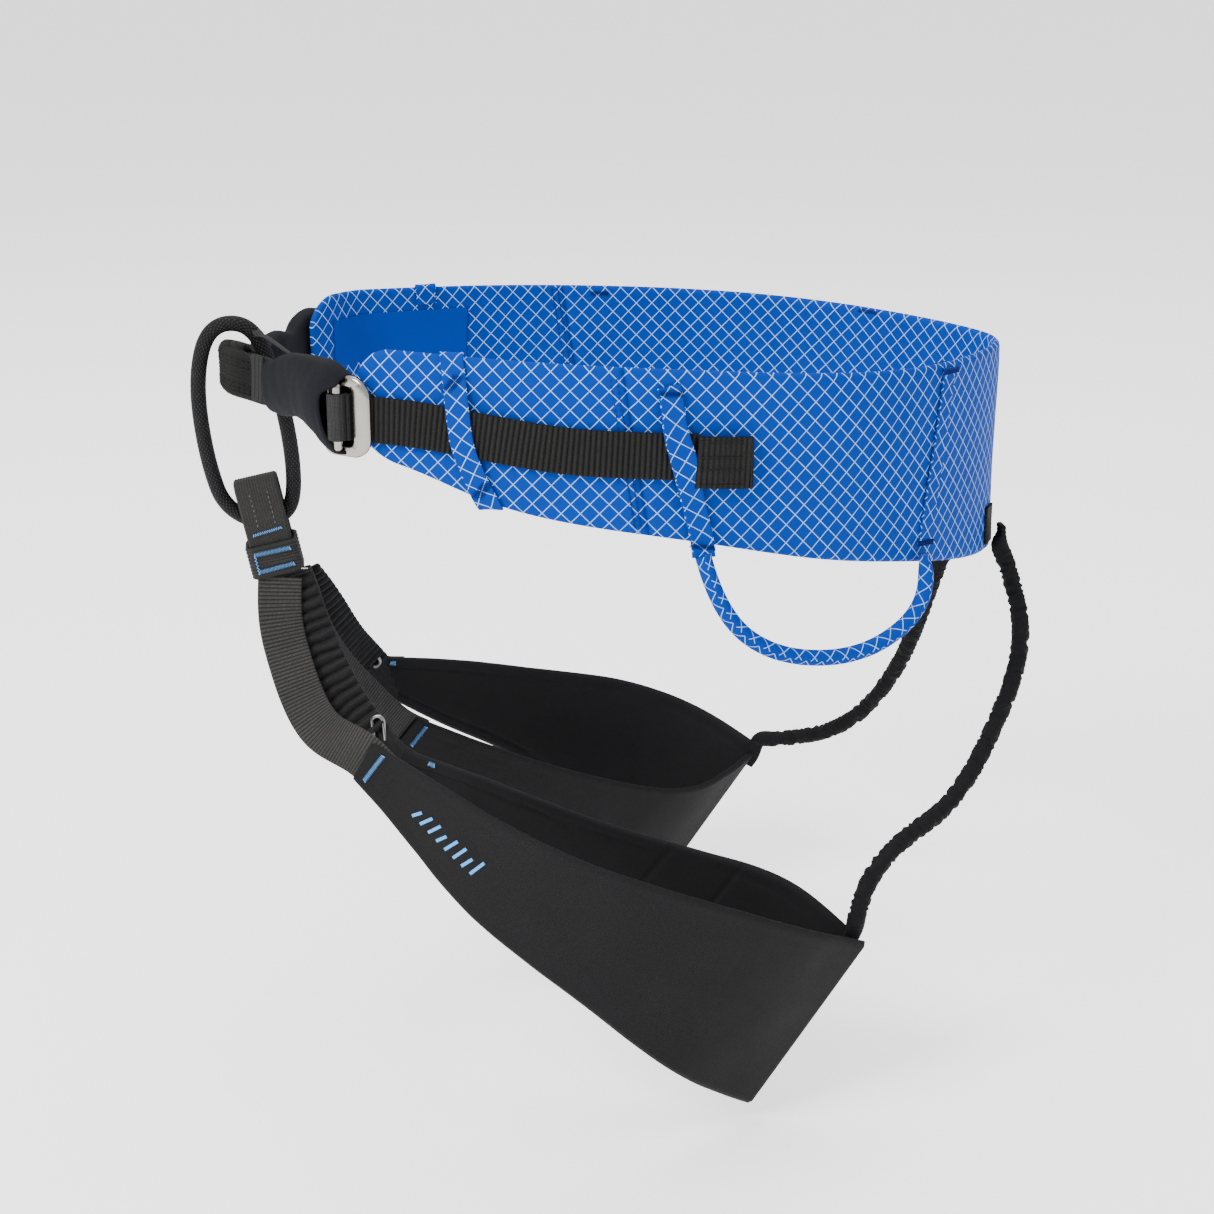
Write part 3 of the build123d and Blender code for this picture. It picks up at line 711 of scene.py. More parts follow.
def belt_piece(name, node, start, end, front_side, lean_way):
    """One panel of the belt, between two stations. A front end is rounded, and a seam leans."""
    columns = int(abs(end - start) / 1.6)
    share = np.linspace(0, 1, columns)
    if front_side:
        share = np.concatenate([[0, 0.0008, 0.0025, 0.006, 0.012], share[2:]])
    section = belt_section(46)
    rows = []
    uv = []
    for t in share:
        station = start + (end - start) * t
        top, low = belt_heights(station)
        away = abs(station - start)
        if front_side:
            top -= corner_drop(WING_CORNER_TOP, away)
            low += corner_drop(WING_CORNER_LOW, away)
        rise, face = section[:, 0], section[:, 1]
        z = low + (top - low) * rise
        lean = SEAM_LEAN * (0.5 - (z + 5) / SEAM_HEIGHT)
        from_edge = np.minimum(z - low, top - z)
        if front_side:
            from_edge = np.minimum(from_edge, away)
            lean = lean * t
        else:
            lean = lean * (1 - 2 * t)
        place = station + lean * lean_way
        plump = np.sqrt(np.clip(1 - (1 - np.clip(from_edge / BELT_RIM, 0, 1)) ** 2, 0, 1))
        thick = RIM_HALF + (BELT_THICKNESS / 2 - RIM_HALF) * plump
        spots = np.stack([place * 0.02, z * 0.03, face * 0 + 2], -1)
        sag = wobble(spots, 1.0, 1.7) * 0.9
        ripple = wobble(np.stack([place * 0.09, z * 0.05, face + 4], -1), 1.0, 5.0) * 0.18
        from_seam = abs(end - station) if front_side else min(away, abs(end - station))
        thick = thick - SEAM_PINCH * np.exp(-((from_seam / SEAM_PINCH_REACH) ** 2)) * plump
        out = -BELT_THICKNESS / 2 + face * thick + (sag + ripple) * plump * 0.7 - wing_bend(place)
        rows.append(on_belt(place, out, z))
        uv.append(np.stack([np.append(place, place[0]), np.append(z, z[0])], -1))
    grid = Grid()
    grid.add(np.array(rows), np.array(uv) * MM, wrap=True, caps=True)
    grid.piece(name, RIPSTOP, "blue_fabric", "harness", node)


seam_middle_x = (WING_SEAM_TOP_X + WING_SEAM_BOTTOM_X) / 2
right_seam = plan_station(seam_middle_x, 1)
left_seam = plan_station(seam_middle_x, -1)
belt_piece("belt_back", "belt_back_panel", right_seam, left_seam, False, 1.0)
for name, side in SIDES.items():
    seam = left_seam if side < 0 else right_seam
    front = plan_station(WING_FRONT_X[name], side)
    belt_piece(f"belt_wing_{name}_cloth", f"belt_wing_{name}", front, seam, True, float(side))

# ---- Patches inside the wings


def on_side(points, side):
    """Points given for the right side, mirrored to the side that is wanted."""
    return np.array(points, float) * [1, side, 1]


def strap_on_belt(grid, route, side, out, width, thickness, relief=None, step=0.4, columns=14):
    """A strap that follows the belt. route is x and z along it, and out its distance from the belt."""
    count = int(lengths_along(np.array(route, float))[-1] / step)
    line = smooth_line(route, count)
    station = plan_station(line[:, 0], side)
    band(grid, on_belt(station, out, line[:, 1]), out_of_belt(station), width, thickness, relief, columns)


def wing_patch(name, side):
    """The plain blue patch inside a wing."""
    patch = Grid()
    inside = -BELT_THICKNESS - 0.35
    patch_front = -146 if side < 0 else -160
    x = np.linspace(patch_front, -88, 60)
    middles = np.stack([x, np.interp(x, [-144, -88], [24, 21])], 1)
    station = plan_station(middles[:, 0], side)
    heights = np.interp(x, [-146, -88], [23, 26])
    places = on_belt(station, inside - wing_bend(station), middles[:, 1])
    band(patch, places, out_of_belt(station), heights, 0.7)
    patch.piece(
        f"wing_patch_{name}_cloth", PLAIN_BLUE, "plain_blue_fabric", "harness", f"wing_patch_{name}"
    )


for name, side in SIDES.items():
    wing_patch(name, side)

# ---- Waist webbing, its folded end, the keeper and the gear loop's straps

FOLDED_END_ROUTE = [(-9, 6.3), (3, 5.6), (13.2, 5.1)]
GEAR_FRONT_ROUTE = [
    (-20.2, 38), (-19.5, 34.5), (-17.7, 20), (-14.8, 9.2), (-11.2, -6.2), (-8, -19),
    (-6, -28), (-5.6, -34.5),
]
GEAR_FRONT_OUT = [0.7, 1.0, 3.4, 4.0, 3.4, 1.8, 2.2, 4.3]
GEAR_REAR_ROUTE = [(110.5, 32.5), (107.5, 8), (104, -16), (99.5, -44.5)]
GEAR_STRAP_WIDTH = 10.0
KEEPER_WIDTH = 10.2
FOLDED_END_WIDTH = 22.0

# Keeper's round trip over the belt and the webbing: x, distance out from the belt's face, and z
KEEPER_ROUND = [
    (-108.6, -4.4, 37.5), (-108.7, -4.5, 42.5), (-108.5, -3.6, 45.6), (-108.0, -1.9, 46.3),
    (-107.7, -0.2, 45.6), (-107.2, 0.6, 42.0), (-106.4, 1.2, 36.5), (-105.6, 2.4, 31.3),
    (-104.8, 3.5, 27.0), (-103.8, 3.7, 17.5), (-102.1, 3.6, 9.0), (-100.6, 2.4, 3.8),
    (-97.6, 1.3, -4.5), (-94.3, 0.9, -11.5), (-93.0, -0.3, -14.6), (-93.2, -2.0, -15.3),
    (-94.0, -3.9, -14.0), (-95.6, -4.5, -8.0),
]


def waist_webbing(name, side):
    """The ribbed webbing along the wing."""
    webbing = Grid()
    ribbed = ribs(WEBBING_RIB, 0.7)
    strap_on_belt(webbing, WEBBING_ROUTE, side, 1.55, WEBBING_WIDTH, 1.5, ribbed, 0.2)
    webbing.piece(
        f"waist_webbing_{name}_weave", WEBBING, "black_webbing", "harness", f"waist_webbing_{name}"
    )


def folded_end(name, side):
    """The webbing's end, folded back on itself and stitched."""
    folded = Grid()
    strap_on_belt(folded, FOLDED_END_ROUTE, side, 3.9, FOLDED_END_WIDTH, 1.7, ribs(2.6, 0.35), 0.3)
    strap_on_belt(folded, FOLDED_END_ROUTE, side, 1.9, 21.4, 1.6, ribs(2.6, 0.25), 0.3)
    turned = smooth_line(FOLDED_END_ROUTE, 40)[-8:]
    turned_station = plan_station(turned[:, 0], side)
    middle = on_belt(turned_station[-1:], 2.9, turned[-1:, 1])[0]
    turn = np.linspace(-np.pi / 2, np.pi / 2, 13)
    ahead = unit(on_belt(turned_station[-1], 0, 5) - on_belt(turned_station[-4], 0, 5))
    outward = out_of_belt(turned_station[-1:])[0]
    fold_line = middle + ahead * (np.cos(turn) * 1.1)[:, None] + outward * (np.sin(turn) * 1.05)[:, None]
    fold_ups = ahead * np.cos(turn)[:, None] + outward * np.sin(turn)[:, None]
    band(folded, fold_line, fold_ups, FOLDED_END_WIDTH, 1.6)
    folded.piece(f"webbing_end_{name}_weave", WEBBING, "black_webbing", "harness", f"webbing_end_{name}")
    dots = Grid()
    for height in (9.2, -9.2, 2.6, -2.6):
        x = np.linspace(-8, 12.2, 30)
        station = plan_station(x, side)
        z = np.interp(x, [-9, 16.5], [6.3, 5.0]) + height
        stitch_row(dots, on_belt(station, 5.15, z), out_of_belt(station), 1.6, 1.1, 0.22)
    dots.piece(f"webbing_end_{name}_stitches", BLACK_THREAD, "black_webbing", "harness")


def keeper_strap(name, side):
    """A strap round the belt and the webbing."""
    keeper = Grid()
    path = smooth_line(KEEPER_ROUND, 320)
    path[:, 2] += BELT_TOP_LIFT[name] * step_up(path[:, 2], 26, 44)
    station = plan_station(path[:, 0], side)
    middles = on_belt(station, path[:, 1], path[:, 2])
    centre = on_belt(plan_station(np.array([-101.0]), side), -0.8, 15.0)[0]
    ahead = tangents(middles)
    level = unit(on_belt(station + 1, *path[:, 1:].T) - on_belt(station - 1, *path[:, 1:].T))
    ups = np.cross(ahead, level)
    turn_outwards(ups, middles, centre)
    band(keeper, middles, ups, KEEPER_WIDTH, 0.8, columns=10)
    keeper.piece(f"keeper_{name}_strap", RIPSTOP, "blue_fabric", "harness", f"keeper_{name}")


def gear_loop_straps(name, side):
    """The straps that hold the gear loop's ends."""
    straps = Grid()
    route = np.column_stack([np.array(GEAR_FRONT_ROUTE), GEAR_FRONT_OUT])
    path = smooth_line(route, 150)
    station = plan_station(path[:, 0], side)
    widths = GEAR_STRAP_WIDTH + 1.2 * np.exp(-(((path[:, 1] - 8) / 12) ** 2))
    middles = on_belt(station, path[:, 2], path[:, 1])
    band(straps, middles, out_of_belt(station), widths, 1.1, columns=10)
    straps.piece(
        f"gear_strap_front_{name}_cloth", RIPSTOP, "blue_fabric", "harness", f"gear_strap_front_{name}"
    )
    straps = Grid()
    strap_on_belt(straps, GEAR_REAR_ROUTE, side, 0.75, GEAR_STRAP_WIDTH - 0.8, 1.1, columns=10)
    straps.piece(
        f"gear_strap_rear_{name}_cloth", RIPSTOP, "blue_fabric", "harness", f"gear_strap_rear_{name}"
    )


def gear_loop(name, side):
    """A round cord in a sleeve of the belt's cloth, pressed flat at its ends."""
    path = resample(nurbs_line(on_side(GEAR_TUBE_ROUTE, side)), 220)
    loop = Grid()
    at = lengths_along(path)
    pressed = 1 - step_up(at, 0, 9) * step_up(at[-1] - at, 0, 9)
    angle = np.linspace(0, 2 * np.pi, 24, endpoint=False)
    radius = GEAR_TUBE_DIAMETER / 2 * (1 - 0.45 * pressed[:, None] * np.abs(np.cos(angle))[None])
    tube(loop, path, radius, 24, first_side=(0, side, 0))
    loop.piece(
        f"gear_tube_{name}_sleeve", RIPSTOP, "blue_fabric", f"gear_loop_{name}", f"gear_tube_{name}"
    )


for name, side in SIDES.items():
    for make in (waist_webbing, folded_end, keeper_strap, gear_loop_straps, gear_loop):
        make(name, side)

# ---- Buckles

BUCKLE_MIDDLE = (-152.8, 76.2, 21.6)
BUCKLE_ALONG = (0.78, 0.626)


def in_buckle(side, along, out, z):
    """Points in the buckle's own directions: along the strap towards the back, outwards, and up."""
    along, out, z = np.broadcast_arrays(np.asarray(along, float), out, z)
    x = BUCKLE_MIDDLE[0] + BUCKLE_ALONG[0] * along - BUCKLE_ALONG[1] * out
    y = (BUCKLE_MIDDLE[1] + BUCKLE_ALONG[1] * along + BUCKLE_ALONG[0] * out) * side
    return np.stack([x, y, BUCKLE_MIDDLE[2] + z], -1)


def rounded_outline(left, right, low, high, radii, steps=8):
    """A rectangle with rounded corners as points. radii go from the lower right corner anticlockwise."""
    corners = [(right, low, 1, -1), (right, high, 1, 1), (left, high, -1, 1), (left, low, -1, -1)]
    points = []
    for index, ((x, y, sx, sy), r) in enumerate(zip(corners, radii)):
        turn = np.linspace(0, np.pi / 2, steps) + (index - 1) * np.pi / 2
        points += [(x - sx * r + r * np.cos(t), y - sy * r + r * np.sin(t)) for t in turn]
    return np.array(points)


def buckle_frame(name, side):
    """The flat frame with its window."""
    outer = rounded_outline(-9, 15, -17.3, 17.3, (9.0, 9.0, 5, 5))
    window = rounded_outline(-5, 6.2, -12.5, 12.5, (2.2, 2.2, 2, 2))
    section = [(0.0, 0.6), (0.07, 1.15), (0.16, 1.5), (0.86, 1.5), (0.95, 1.2), (1.0, 0.5)]
    section = section + [(s, -h) for s, h in reversed(section)]
    rows = []
    for o, w in zip(np.vstack([outer, outer[:1]]), np.vstack([window, window[:1]])):
        steps = [(o + (w - o) * share, height) for share, height in section]
        rows.append([in_buckle(side, spot[0], height, spot[1]) for spot, height in steps])
    frame_grid = Grid()
    frame_grid.add(np.array(rows), wrap=True)
    piece = frame_grid.piece(
        f"buckle_frame_{name}_metal", BUCKLE_METAL, "buckle_metal", f"buckle_{name}", f"buckle_frame_{name}"
    )
    bevel = piece.modifiers.new("edges", "BEVEL")
    bevel.width = 0.00012
    bevel.segments = 2
    bevel.limit_method = "ANGLE"


def buckle_bar(name, side):
    """The sliding bar, with rounded ends."""
    bar = Grid()
    z = np.array([-14.6, -14.4, -13.6, -12.5, 12.5, 13.6, 14.4, 14.6])
    shrink = np.array([0.3, 0.7, 0.95, 1, 1, 0.95, 0.7, 0.3])
    turn = np.linspace(0, 2 * np.pi, 24, endpoint=False)
    rows = []
    for height, size in zip(z, shrink):
        rows.append(in_buckle(side, 2.1 * np.cos(turn) * size, 3.2 + 1.7 * np.sin(turn) * size, height))
    bar.add(np.array(rows), wrap=True, caps=True)
    bar.piece(
        f"buckle_bar_{name}_metal", BUCKLE_METAL, "buckle_metal", f"bar_{name}", f"buckle_bar_{name}"
    )


# Webbing's way round the bar and through the frame: along the strap and outwards
WOUND_ROUTE = [
    (2.4, -0.4), (3.0, 1.2), (3.1, 3.2), (2.6, 4.9), (1.0, 6.0), (-1.2, 6.0), (-3.0, 4.9),
    (-3.6, 3.0), (-3.4, 0.9),
]
FEED_ROUTE = [(14.5, -3.2), (11, -3.2), (7.0, -2.6), (5.2, -0.6), (4.6, 1.4), (4.0, 2.2)]


def buckle_webbing(name, side):
    """The webbing wound on the bar, and the webbing fed through the frame."""
    route = smooth_line(WOUND_ROUTE, 70)
    middles = in_buckle(side, route[:, 0], route[:, 1], 0.0)
    ups = in_buckle(side, *(route - [0, 3.0]).T, 0.0) - in_buckle(side, 0, 0, 0)
    wound = Grid()
    band(wound, middles, ups, 20.0, 1.3, ribs(1.7, 0.22))
    wound.piece(
        f"buckle_webbing_{name}_weave",
        WEBBING_GREY,
        "black_webbing",
        f"bar_{name}",
        f"buckle_webbing_{name}",
    )

    route = smooth_line(FEED_ROUTE, 60)
    middles = in_buckle(side, route[:, 0], route[:, 1], 0.0)
    ups = np.tile(in_buckle(side, 0.5, 1, 0) - in_buckle(side, 0, 0, 0), (60, 1))
    feed = Grid()
    band(feed, middles, ups, 20.0, 1.4, ribs(WEBBING_RIB, 0.3))
    feed.piece(f"waist_webbing_{name}_feed", WEBBING, "black_webbing", "harness")


for name, side in SIDES.items():
    buckle_frame(name, side)
    buckle_bar(name, side)
    buckle_webbing(name, side)

# ---- Sleeves round the front straps

# Stations from the tie-in loop back: middle in plan, thickness, top and bottom height
SLEEVES = {
    "left": [
        ((-182.3, 22), 9.0, 34.8, 15.8),
        ((-180, 28), 11.5, 36.0, 14.2),
        ((-175.5, 37), 13.5, 40.2, 13.6),
        ((-171, 47), 14.0, 43.6, 14.6),
        ((-166.5, 56), 13.5, 44.2, 15.0),
        ((-160.5, 67), 14.0, 43.8, 10.5),
        ((-156.0, 73), 15.0, 43.2, 6.2),
        ((-150.4, 77.6), 15.5, 39.4, 5.4),
    ],
    "right": [
        ((-185.5, 19), 8.0, 31.5, 13.0),
        ((-181.5, 29), 12.0, 36.5, 11.0),
        ((-177.5, 38), 12.0, 36.5, 9.0),
        ((-173.5, 48), 9.5, 33.5, 6.0),
        ((-169.5, 58), 12.0, 38.5, 3.0),
        ((-164.5, 67), 13.5, 40.0, 1.5),
        ((-159.0, 74.5), 13.5, 38.0, 0.5),
        ((-154.2, 79), 13.5, 35.0, 1.0),
    ],
}
INNER_STRAP_ROUTES = {
    "left": [(-190.5, 9.5, 25), (-186, 15.5, 25), (-175, 38, 26.5), (-168, 55, 28), (-163.2, 65, 26)],
    "right": [
        (-190.5, 9.5, 25), (-186.5, 16.5, 24.5), (-177.5, 38, 23), (-170.5, 56, 20.5), (-166, 65, 20),
    ],
}
SLEEVE_WALL = 1.9
SLEEVE_MOUTH_CUT = 8.5
SLEEVE_RINGS = 60


def sleeve_ring(dense, square, side, i, inset):
    """One ring round a sleeve, moved inwards by inset. The sleeve's mouth is cut back on the outer side."""
    turn = np.linspace(0, 2 * np.pi, 56, endpoint=False)
    sideways = np.abs(np.cos(turn)) ** 0.62 * np.sign(np.cos(turn))
    upwards = np.abs(np.sin(turn)) ** 0.8 * np.sign(np.sin(turn))
    outer_side = np.clip(np.cos(turn) * side, 0, 1) ** 1.3
    outer_side = outer_side * (1 - 0.75 * step_up(np.sin(turn), 0.15, 0.8))
    stations = np.arange(SLEEVE_RINGS)
    at = i - SLEEVE_MOUTH_CUT * outer_side * (i / stations[-1]) ** 4
    x, y, thick, top, low = (np.interp(at, stations, c) for c in dense.T)
    square_x, square_y = (np.interp(at, stations, c) for c in square.T)
    across = sideways * (thick / 2 - inset)
    z = (top + low) / 2 + upwards * ((top - low) / 2 - inset)
    points = np.column_stack([x + square_x * across, y + square_y * across, z])
    fold = wobble(points * [0.055, 0.055, 0.05], 1.0, 4.0 + side) * 1.7
    fine = wobble(points * [0.2, 0.2, 0.12], 1.0, 9.0 + side) * 0.3
    out = np.column_stack([square_x * sideways, square_y * sideways, upwards])
    settle = step_up(np.array(i), 0, 5) * step_up(np.array(stations[-1] - i), -3, 6)
    return points + out * ((fold + fine) * settle)[:, None]


def front_sleeve(name, side):
    """The padded sleeve, with a wall that turns inwards at its mouth."""
    table = np.array([(x, y * side, thick, top, low) for (x, y), thick, top, low in SLEEVES[name]])
    chord = np.diff(lengths_along(table[:, :2]))
    dense = smooth_line(table, SLEEVE_RINGS, even=False, chord=chord)
    ahead = tangents(dense[:, :2])
    square = np.stack([-ahead[:, 1], ahead[:, 0]], 1)
    last = SLEEVE_RINGS - 1
    rows = [sleeve_ring(dense, square, side, i, 0.0) for i in range(SLEEVE_RINGS)]
    push = np.array([ahead[-1, 0], ahead[-1, 1], 0])
    for inset, forward in ((0.35, 0.7), (0.9, 0.8), (1.4, 0.3)):
        rows.append(sleeve_ring(dense, square, side, last, inset) + push * forward)
    rows += [sleeve_ring(dense, square, side, i, SLEEVE_WALL) for i in range(last, 5, -3)]
    sleeve = Grid()
    sleeve.add(np.array(rows), wrap=True, caps=True)
    piece = sleeve.piece(
        f"front_sleeve_{name}_soft", SLEEVE, "sleeve_fabric", "harness", f"front_sleeve_{name}"
    )


def front_strap(name, side):
    """The strap's layers between the tie-in loop and the sleeve, with three bands round them."""
    layers = Grid()
    path = smooth_line(INNER_STRAP_ROUTES[name], 120)
    heights = np.interp(np.linspace(0, 1, 120), [0, 0.15, 0.4, 1], [20.2, 19.6, 16.0, 15.0])
    ahead = tangents(path)
    sideways = unit(np.stack([-ahead[:, 1], ahead[:, 0], 0 * ahead[:, 0]], 1))
    for shift in (0.0, 1.7, -1.7):
        middles = (path + sideways * shift) * [1, side, 1]
        band(layers, middles, sideways * [1, side, 1], heights, 1.35, ribs(1.9, 0.22))
    for place in (12, 18, 24):
        spot = path[place] + sideways[place] * 3.4
        rise = np.linspace(-8.6, 11.4, 30)
        middles = (spot + rise[:, None] * [0.05, 0, 1]) * [1, side, 1]
        ups = np.tile(sideways[place] * [1, side, 1], (30, 1))
        band(layers, middles, ups, 2.9, 1.9, lengthwise(1.1, 0.1))
    layers.piece(
        f"front_strap_{name}_weave", WEBBING_GREY, "black_webbing", "harness", f"front_strap_{name}"
    )


for name, side in SIDES.items():
    front_sleeve(name, side)
    front_strap(name, side)

# ---- Tie-in loop at the front

tie_in = Grid()
tie_in_top = Grid()
plan = [
    (-183.5, 14.4), (-192, 11.8), (-199.5, 10.2), (-203, 6.5), (-203.6, 0), (-203, -6.5),
    (-199.5, -10.2), (-192, -11.8), (-183.5, -14.4),
]
path = smooth_line(plan, 160)
z = np.interp(path[:, 0], [-204, -185], [29.0, 22.6])
middles = np.column_stack([path, z])
ups = unit(np.column_stack([tangents(path)[:, 1] * -1, tangents(path)[:, 0], 0 * z]))
turn_outwards(ups, middles, np.array([-196, 0, 27]))


def tie_in_weave(along, across):
    """Lengthwise ribs on the face of the loop, flat towards its edges."""
    weave = 0.16 * np.cos(2 * np.pi * across / 1.55) * (np.abs(across) < 8.6)
    return weave - 0.5 * step_up(np.abs(across), 7.5, 10.5)


band(tie_in, middles - ups * 1.4, ups, 20.6, 5.4, tie_in_weave, columns=90)
for inward, width in ((5.0, 19.6), (7.6, 18.8)):
    band(tie_in, middles[8:-8] - ups[8:-8] * inward, ups[8:-8], width, 4.0)
tie_in.piece("tie_in_loop_weave", TIE_IN_WEBBING, "black_webbing", "harness", "tie_in_loop")

for shift in (0.0, 3.4):
    start = [(-188, -1 - shift, 42), (-185, -9 - shift, 43.4)]
    strip = smooth_line(start + [(-179.5, -22 - shift * 0.6, 42.4), (-172.5, -36, 39.5)], 80)
    band(tie_in_top, strip, np.tile([0.2, -0.35, 1.0], (80, 1)), 1.7, 1.0, lengthwise(0.8, 0.08))
folded_tip = smooth_line([(-190.5, 1.0, 42.0), (-188.5, -1.5, 43.8), (-186.5, -4.0, 42.4)], 24)
band(tie_in_top, folded_tip, np.tile([0.1, -0.4, 1.0], (24, 1)), 4.6, 1.6, lengthwise(1.1, 0.1))
tie_in_top.piece("tie_in_strips_weave", WEBBING_GREY, "black_webbing", "harness")

rows_of_thread = Grid()
for height in (-7.2, -5.6, -3.9, 4.4, 7.0):
    line = middles + ups * 1.35 + [0, 0, height]
    stitch_row(rows_of_thread, line[10:-10], ups[10:-10], 1.3, 1.1, 0.2)
rows_of_thread.piece("tie_in_stitches", BLACK_THREAD, "black_webbing", "harness")

# ---- Loop over the rope and the wrap below it

CROTCH_TOP = np.array([-192, 0, -23.5])
LEAN = unit(np.array([0.98, 0, 0.2]))
UPWARD = np.array([-LEAN[2], 0, LEAN[0]])
SIDEWAYS = np.array([0.0, 1.0, 0.0])


def in_crotch(lean, y, up):
    """Points in the crotch loop's own directions."""
    lean, y, up = (np.asarray(v, float)[..., None] for v in np.broadcast_arrays(lean, y, up))
    return CROTCH_TOP + LEAN * lean + SIDEWAYS * y + UPWARD * up


loop_half = [(-6.3, -31), (-6.4, -20), (-6.5, -8), (-5.9, -3.4), (-3.6, -1.3)]
loop_path = smooth_line(loop_half + [(0, -0.9)] + [(-y, up) for y, up in reversed(loop_half)], 220)
middles = in_crotch(0.0, loop_path[:, 0], loop_path[:, 1])
ahead = tangents(middles)
ups = unit(np.cross(ahead, LEAN))
turn_outwards(ups, middles, in_crotch(0.0, 0.0, -14.0))

crotch = Grid()
band(crotch, middles, ups, 20.0, 2.6, lengthwise(1.25, 0.11), columns=100)
crotch.piece("leg_tie_in_loop_weave", FLAT_WEBBING, "black_webbing", "harness", "leg_tie_in_loop")

wrap_outline = rounded_outline(-11, 11, -8.7, 8.7, (3, 3, 3, 3), 10)
wrap_outline = resample(np.vstack([wrap_outline, wrap_outline[:1]]), 200)
middles = in_crotch(wrap_outline[:, 0], wrap_outline[:, 1], -37.6)
wrap_ups = unit(middles - in_crotch(0.0, 0.0, -37.6))
wrap = Grid()
band(wrap, middles, wrap_ups, 15.4, 1.8, lengthwise(1.7, 0.2), columns=70, caps=False)
wrap.piece("leg_strap_wrap_weave", FLAT_WEBBING, "black_webbing", "harness", "leg_strap_wrap")

# ---- Straps, elastics and hooks down to the legs

STRAPS = {
    "left": [
        ((-182.5, -7.4, -69), (1, 0, 0.1)),
        ((-183, -13, -89), (1, 0, 0.05)),
        ((-180, -22, -103), (0.96, 0.05, 0.25)),
        ((-175, -34, -117), (0.9, 0.1, 0.4)),
        ((-166, -52, -128), (0.8, 0.1, 0.6)),
        ((-148.5, -76, -132), (0.66, 0, 0.75)),
        ((-141.5, -84, -137), (0.66, 0, 0.75)),
    ],
    "right": [
        ((-178, 0.8, -69), (1, 0, 0.1)),
        ((-169, 11, -98), (0.7, 0.6, 0.25)),
        ((-156, 28, -128), (0.6, 0.7, 0.45)),
        ((-140, 44, -154), (0.66, 0.4, 0.65)),
        ((-127.5, 54.6, -169.5), (0.66, 0.1, 0.74)),
        ((-118.5, 60.2, -176.5), (0.65, 0.05, 0.76)),
    ],
}
ELASTICS = {
    "left": [
        ((-176, -3.1, -71), (1, 0, 0.3)),
        ((-168.5, -12, -94), (0.9, 0.2, 0.45)),
        ((-160.5, -24, -112), (0.8, 0.25, 0.6)),
        ((-150.5, -39.5, -126.5), (0.7, 0.2, 0.7)),
        ((-144.5, -47, -133.5), (0.68, 0.1, 0.72)),
    ],
    "right": [
        ((-173, 5.2, -71), (1, 0, 0.3)),
        ((-162, 28, -95), (0.8, 0.35, 0.5)),
        ((-152, 55, -121), (0.7, 0.2, 0.68)),
        ((-143, 79, -140), (0.62, 0.1, 0.78)),
        ((-138.5, 86.5, -148), (0.5, 0.1, 0.85)),
    ],
}


def strap_stations(stations, count):
    """Middles and outward sides of a strap. Each station gives a middle and the way the width runs."""
    both = np.array([[*middle, *across] for middle, across in stations])
    chord = np.linalg.norm(np.diff(both[:, :3], axis=0), axis=1)
    dense = smooth_line(both, count, even=False, chord=chord)
    middles = dense[:, :3]
    across = unit(dense[:, 3:])
    return middles, unit(np.cross(tangents(middles), across))


def strap_ribs(along, across):
    """Ribs that start below a smooth stitched stretch."""
    painted_rib_shading = np.abs(np.sin(np.pi * along / STRAP_RIB)) - 0.5
    return 0.36 * painted_rib_shading * step_up(np.array(along), 13, 17) * np.ones_like(across)


def gathers(side):
    """Deep folds across the elastic, uneven from edge to edge."""

    def relief(along, across):
        sway = 0.35 * noise.noise(Vector((along * 0.21, 3.0, side))) * 6
        rows = np.array([noise.noise(Vector((a * 0.12, along * 0.09, 7.0))) * 1.6 for a in across])
        return 2.2 * np.abs(np.sin(np.pi * (along + sway * 0.2 + 0.5 * rows) / GATHER_PITCH)) ** 0.9 - 1.0

    return relief


def leg_strap(name):
    """The plain strap from the wrap to the leg panels."""
    middles, ups = strap_stations(STRAPS[name], 360)
    plain_strap = Grid()
    band(plain_strap, middles, ups, 20.0, 1.5, strap_ribs)
    piece = plain_strap.piece(
        f"leg_strap_{name}_weave", STRAP_WEBBING, "black_webbing", node=f"leg_strap_{name}"
    )
    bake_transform(piece)


def leg_elastic(name, side):
    """The elastic strap, its cover gathered into folds."""
    middles, ups = strap_stations(ELASTICS[name], 300)
    at = lengths_along(middles)
    folds = Grid()
    widths = 17.6 + 0.8 * np.abs(np.sin(np.pi * at / GATHER_PITCH))
    band(folds, middles, ups, widths, 2.8, gathers(side), columns=24)
    piece = folds.piece(f"leg_elastic_{name}_folds", ELASTIC, "black_elastic", node=f"leg_elastic_{name}")
    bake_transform(piece)


for name, side in SIDES.items():
    leg_strap(name)
    leg_elastic(name, side)

# Each hook's middle, and the ways its short and long sides run
HOOKS = {
    "left": ((-141, -47, -131), (0.93, -0.3, 0.1), (-0.12, 0.1, 1)),
    "right": ((-140.5, 83.5, -141), (0.75, 0.2, 0.55), (-0.5, 0, 0.75)),
}


def leg_hook(name, middle, wide_way, long_way):
    """A closed metal hook, bent from round wire."""
    wide_way = unit(np.array(wide_way))
    long_way = np.array(long_way)
    long_way = unit(long_way - wide_way * long_way.dot(wide_way))
    ring_line = rounded_outline(-2.6, 2.6, -6.4, 6.4, (2.5, 2.5, 2.5, 2.5), 8)
    ring_line = np.vstack([ring_line, ring_line[:1]])
    place = np.array(middle) + wide_way * ring_line[:, :1] + long_way * ring_line[:, 1:]
    hook = Grid()
    tube(hook, resample(place, 90), 0.85, 14, first_side=np.cross(wide_way, long_way), caps=False)
    hook.piece(f"leg_hook_{name}_metal", HOOK_METAL, "hook_metal", f"hook_{name}", f"leg_hook_{name}")


for name, (middle, wide_way, long_way) in HOOKS.items():
    leg_hook(name, middle, wide_way, long_way)

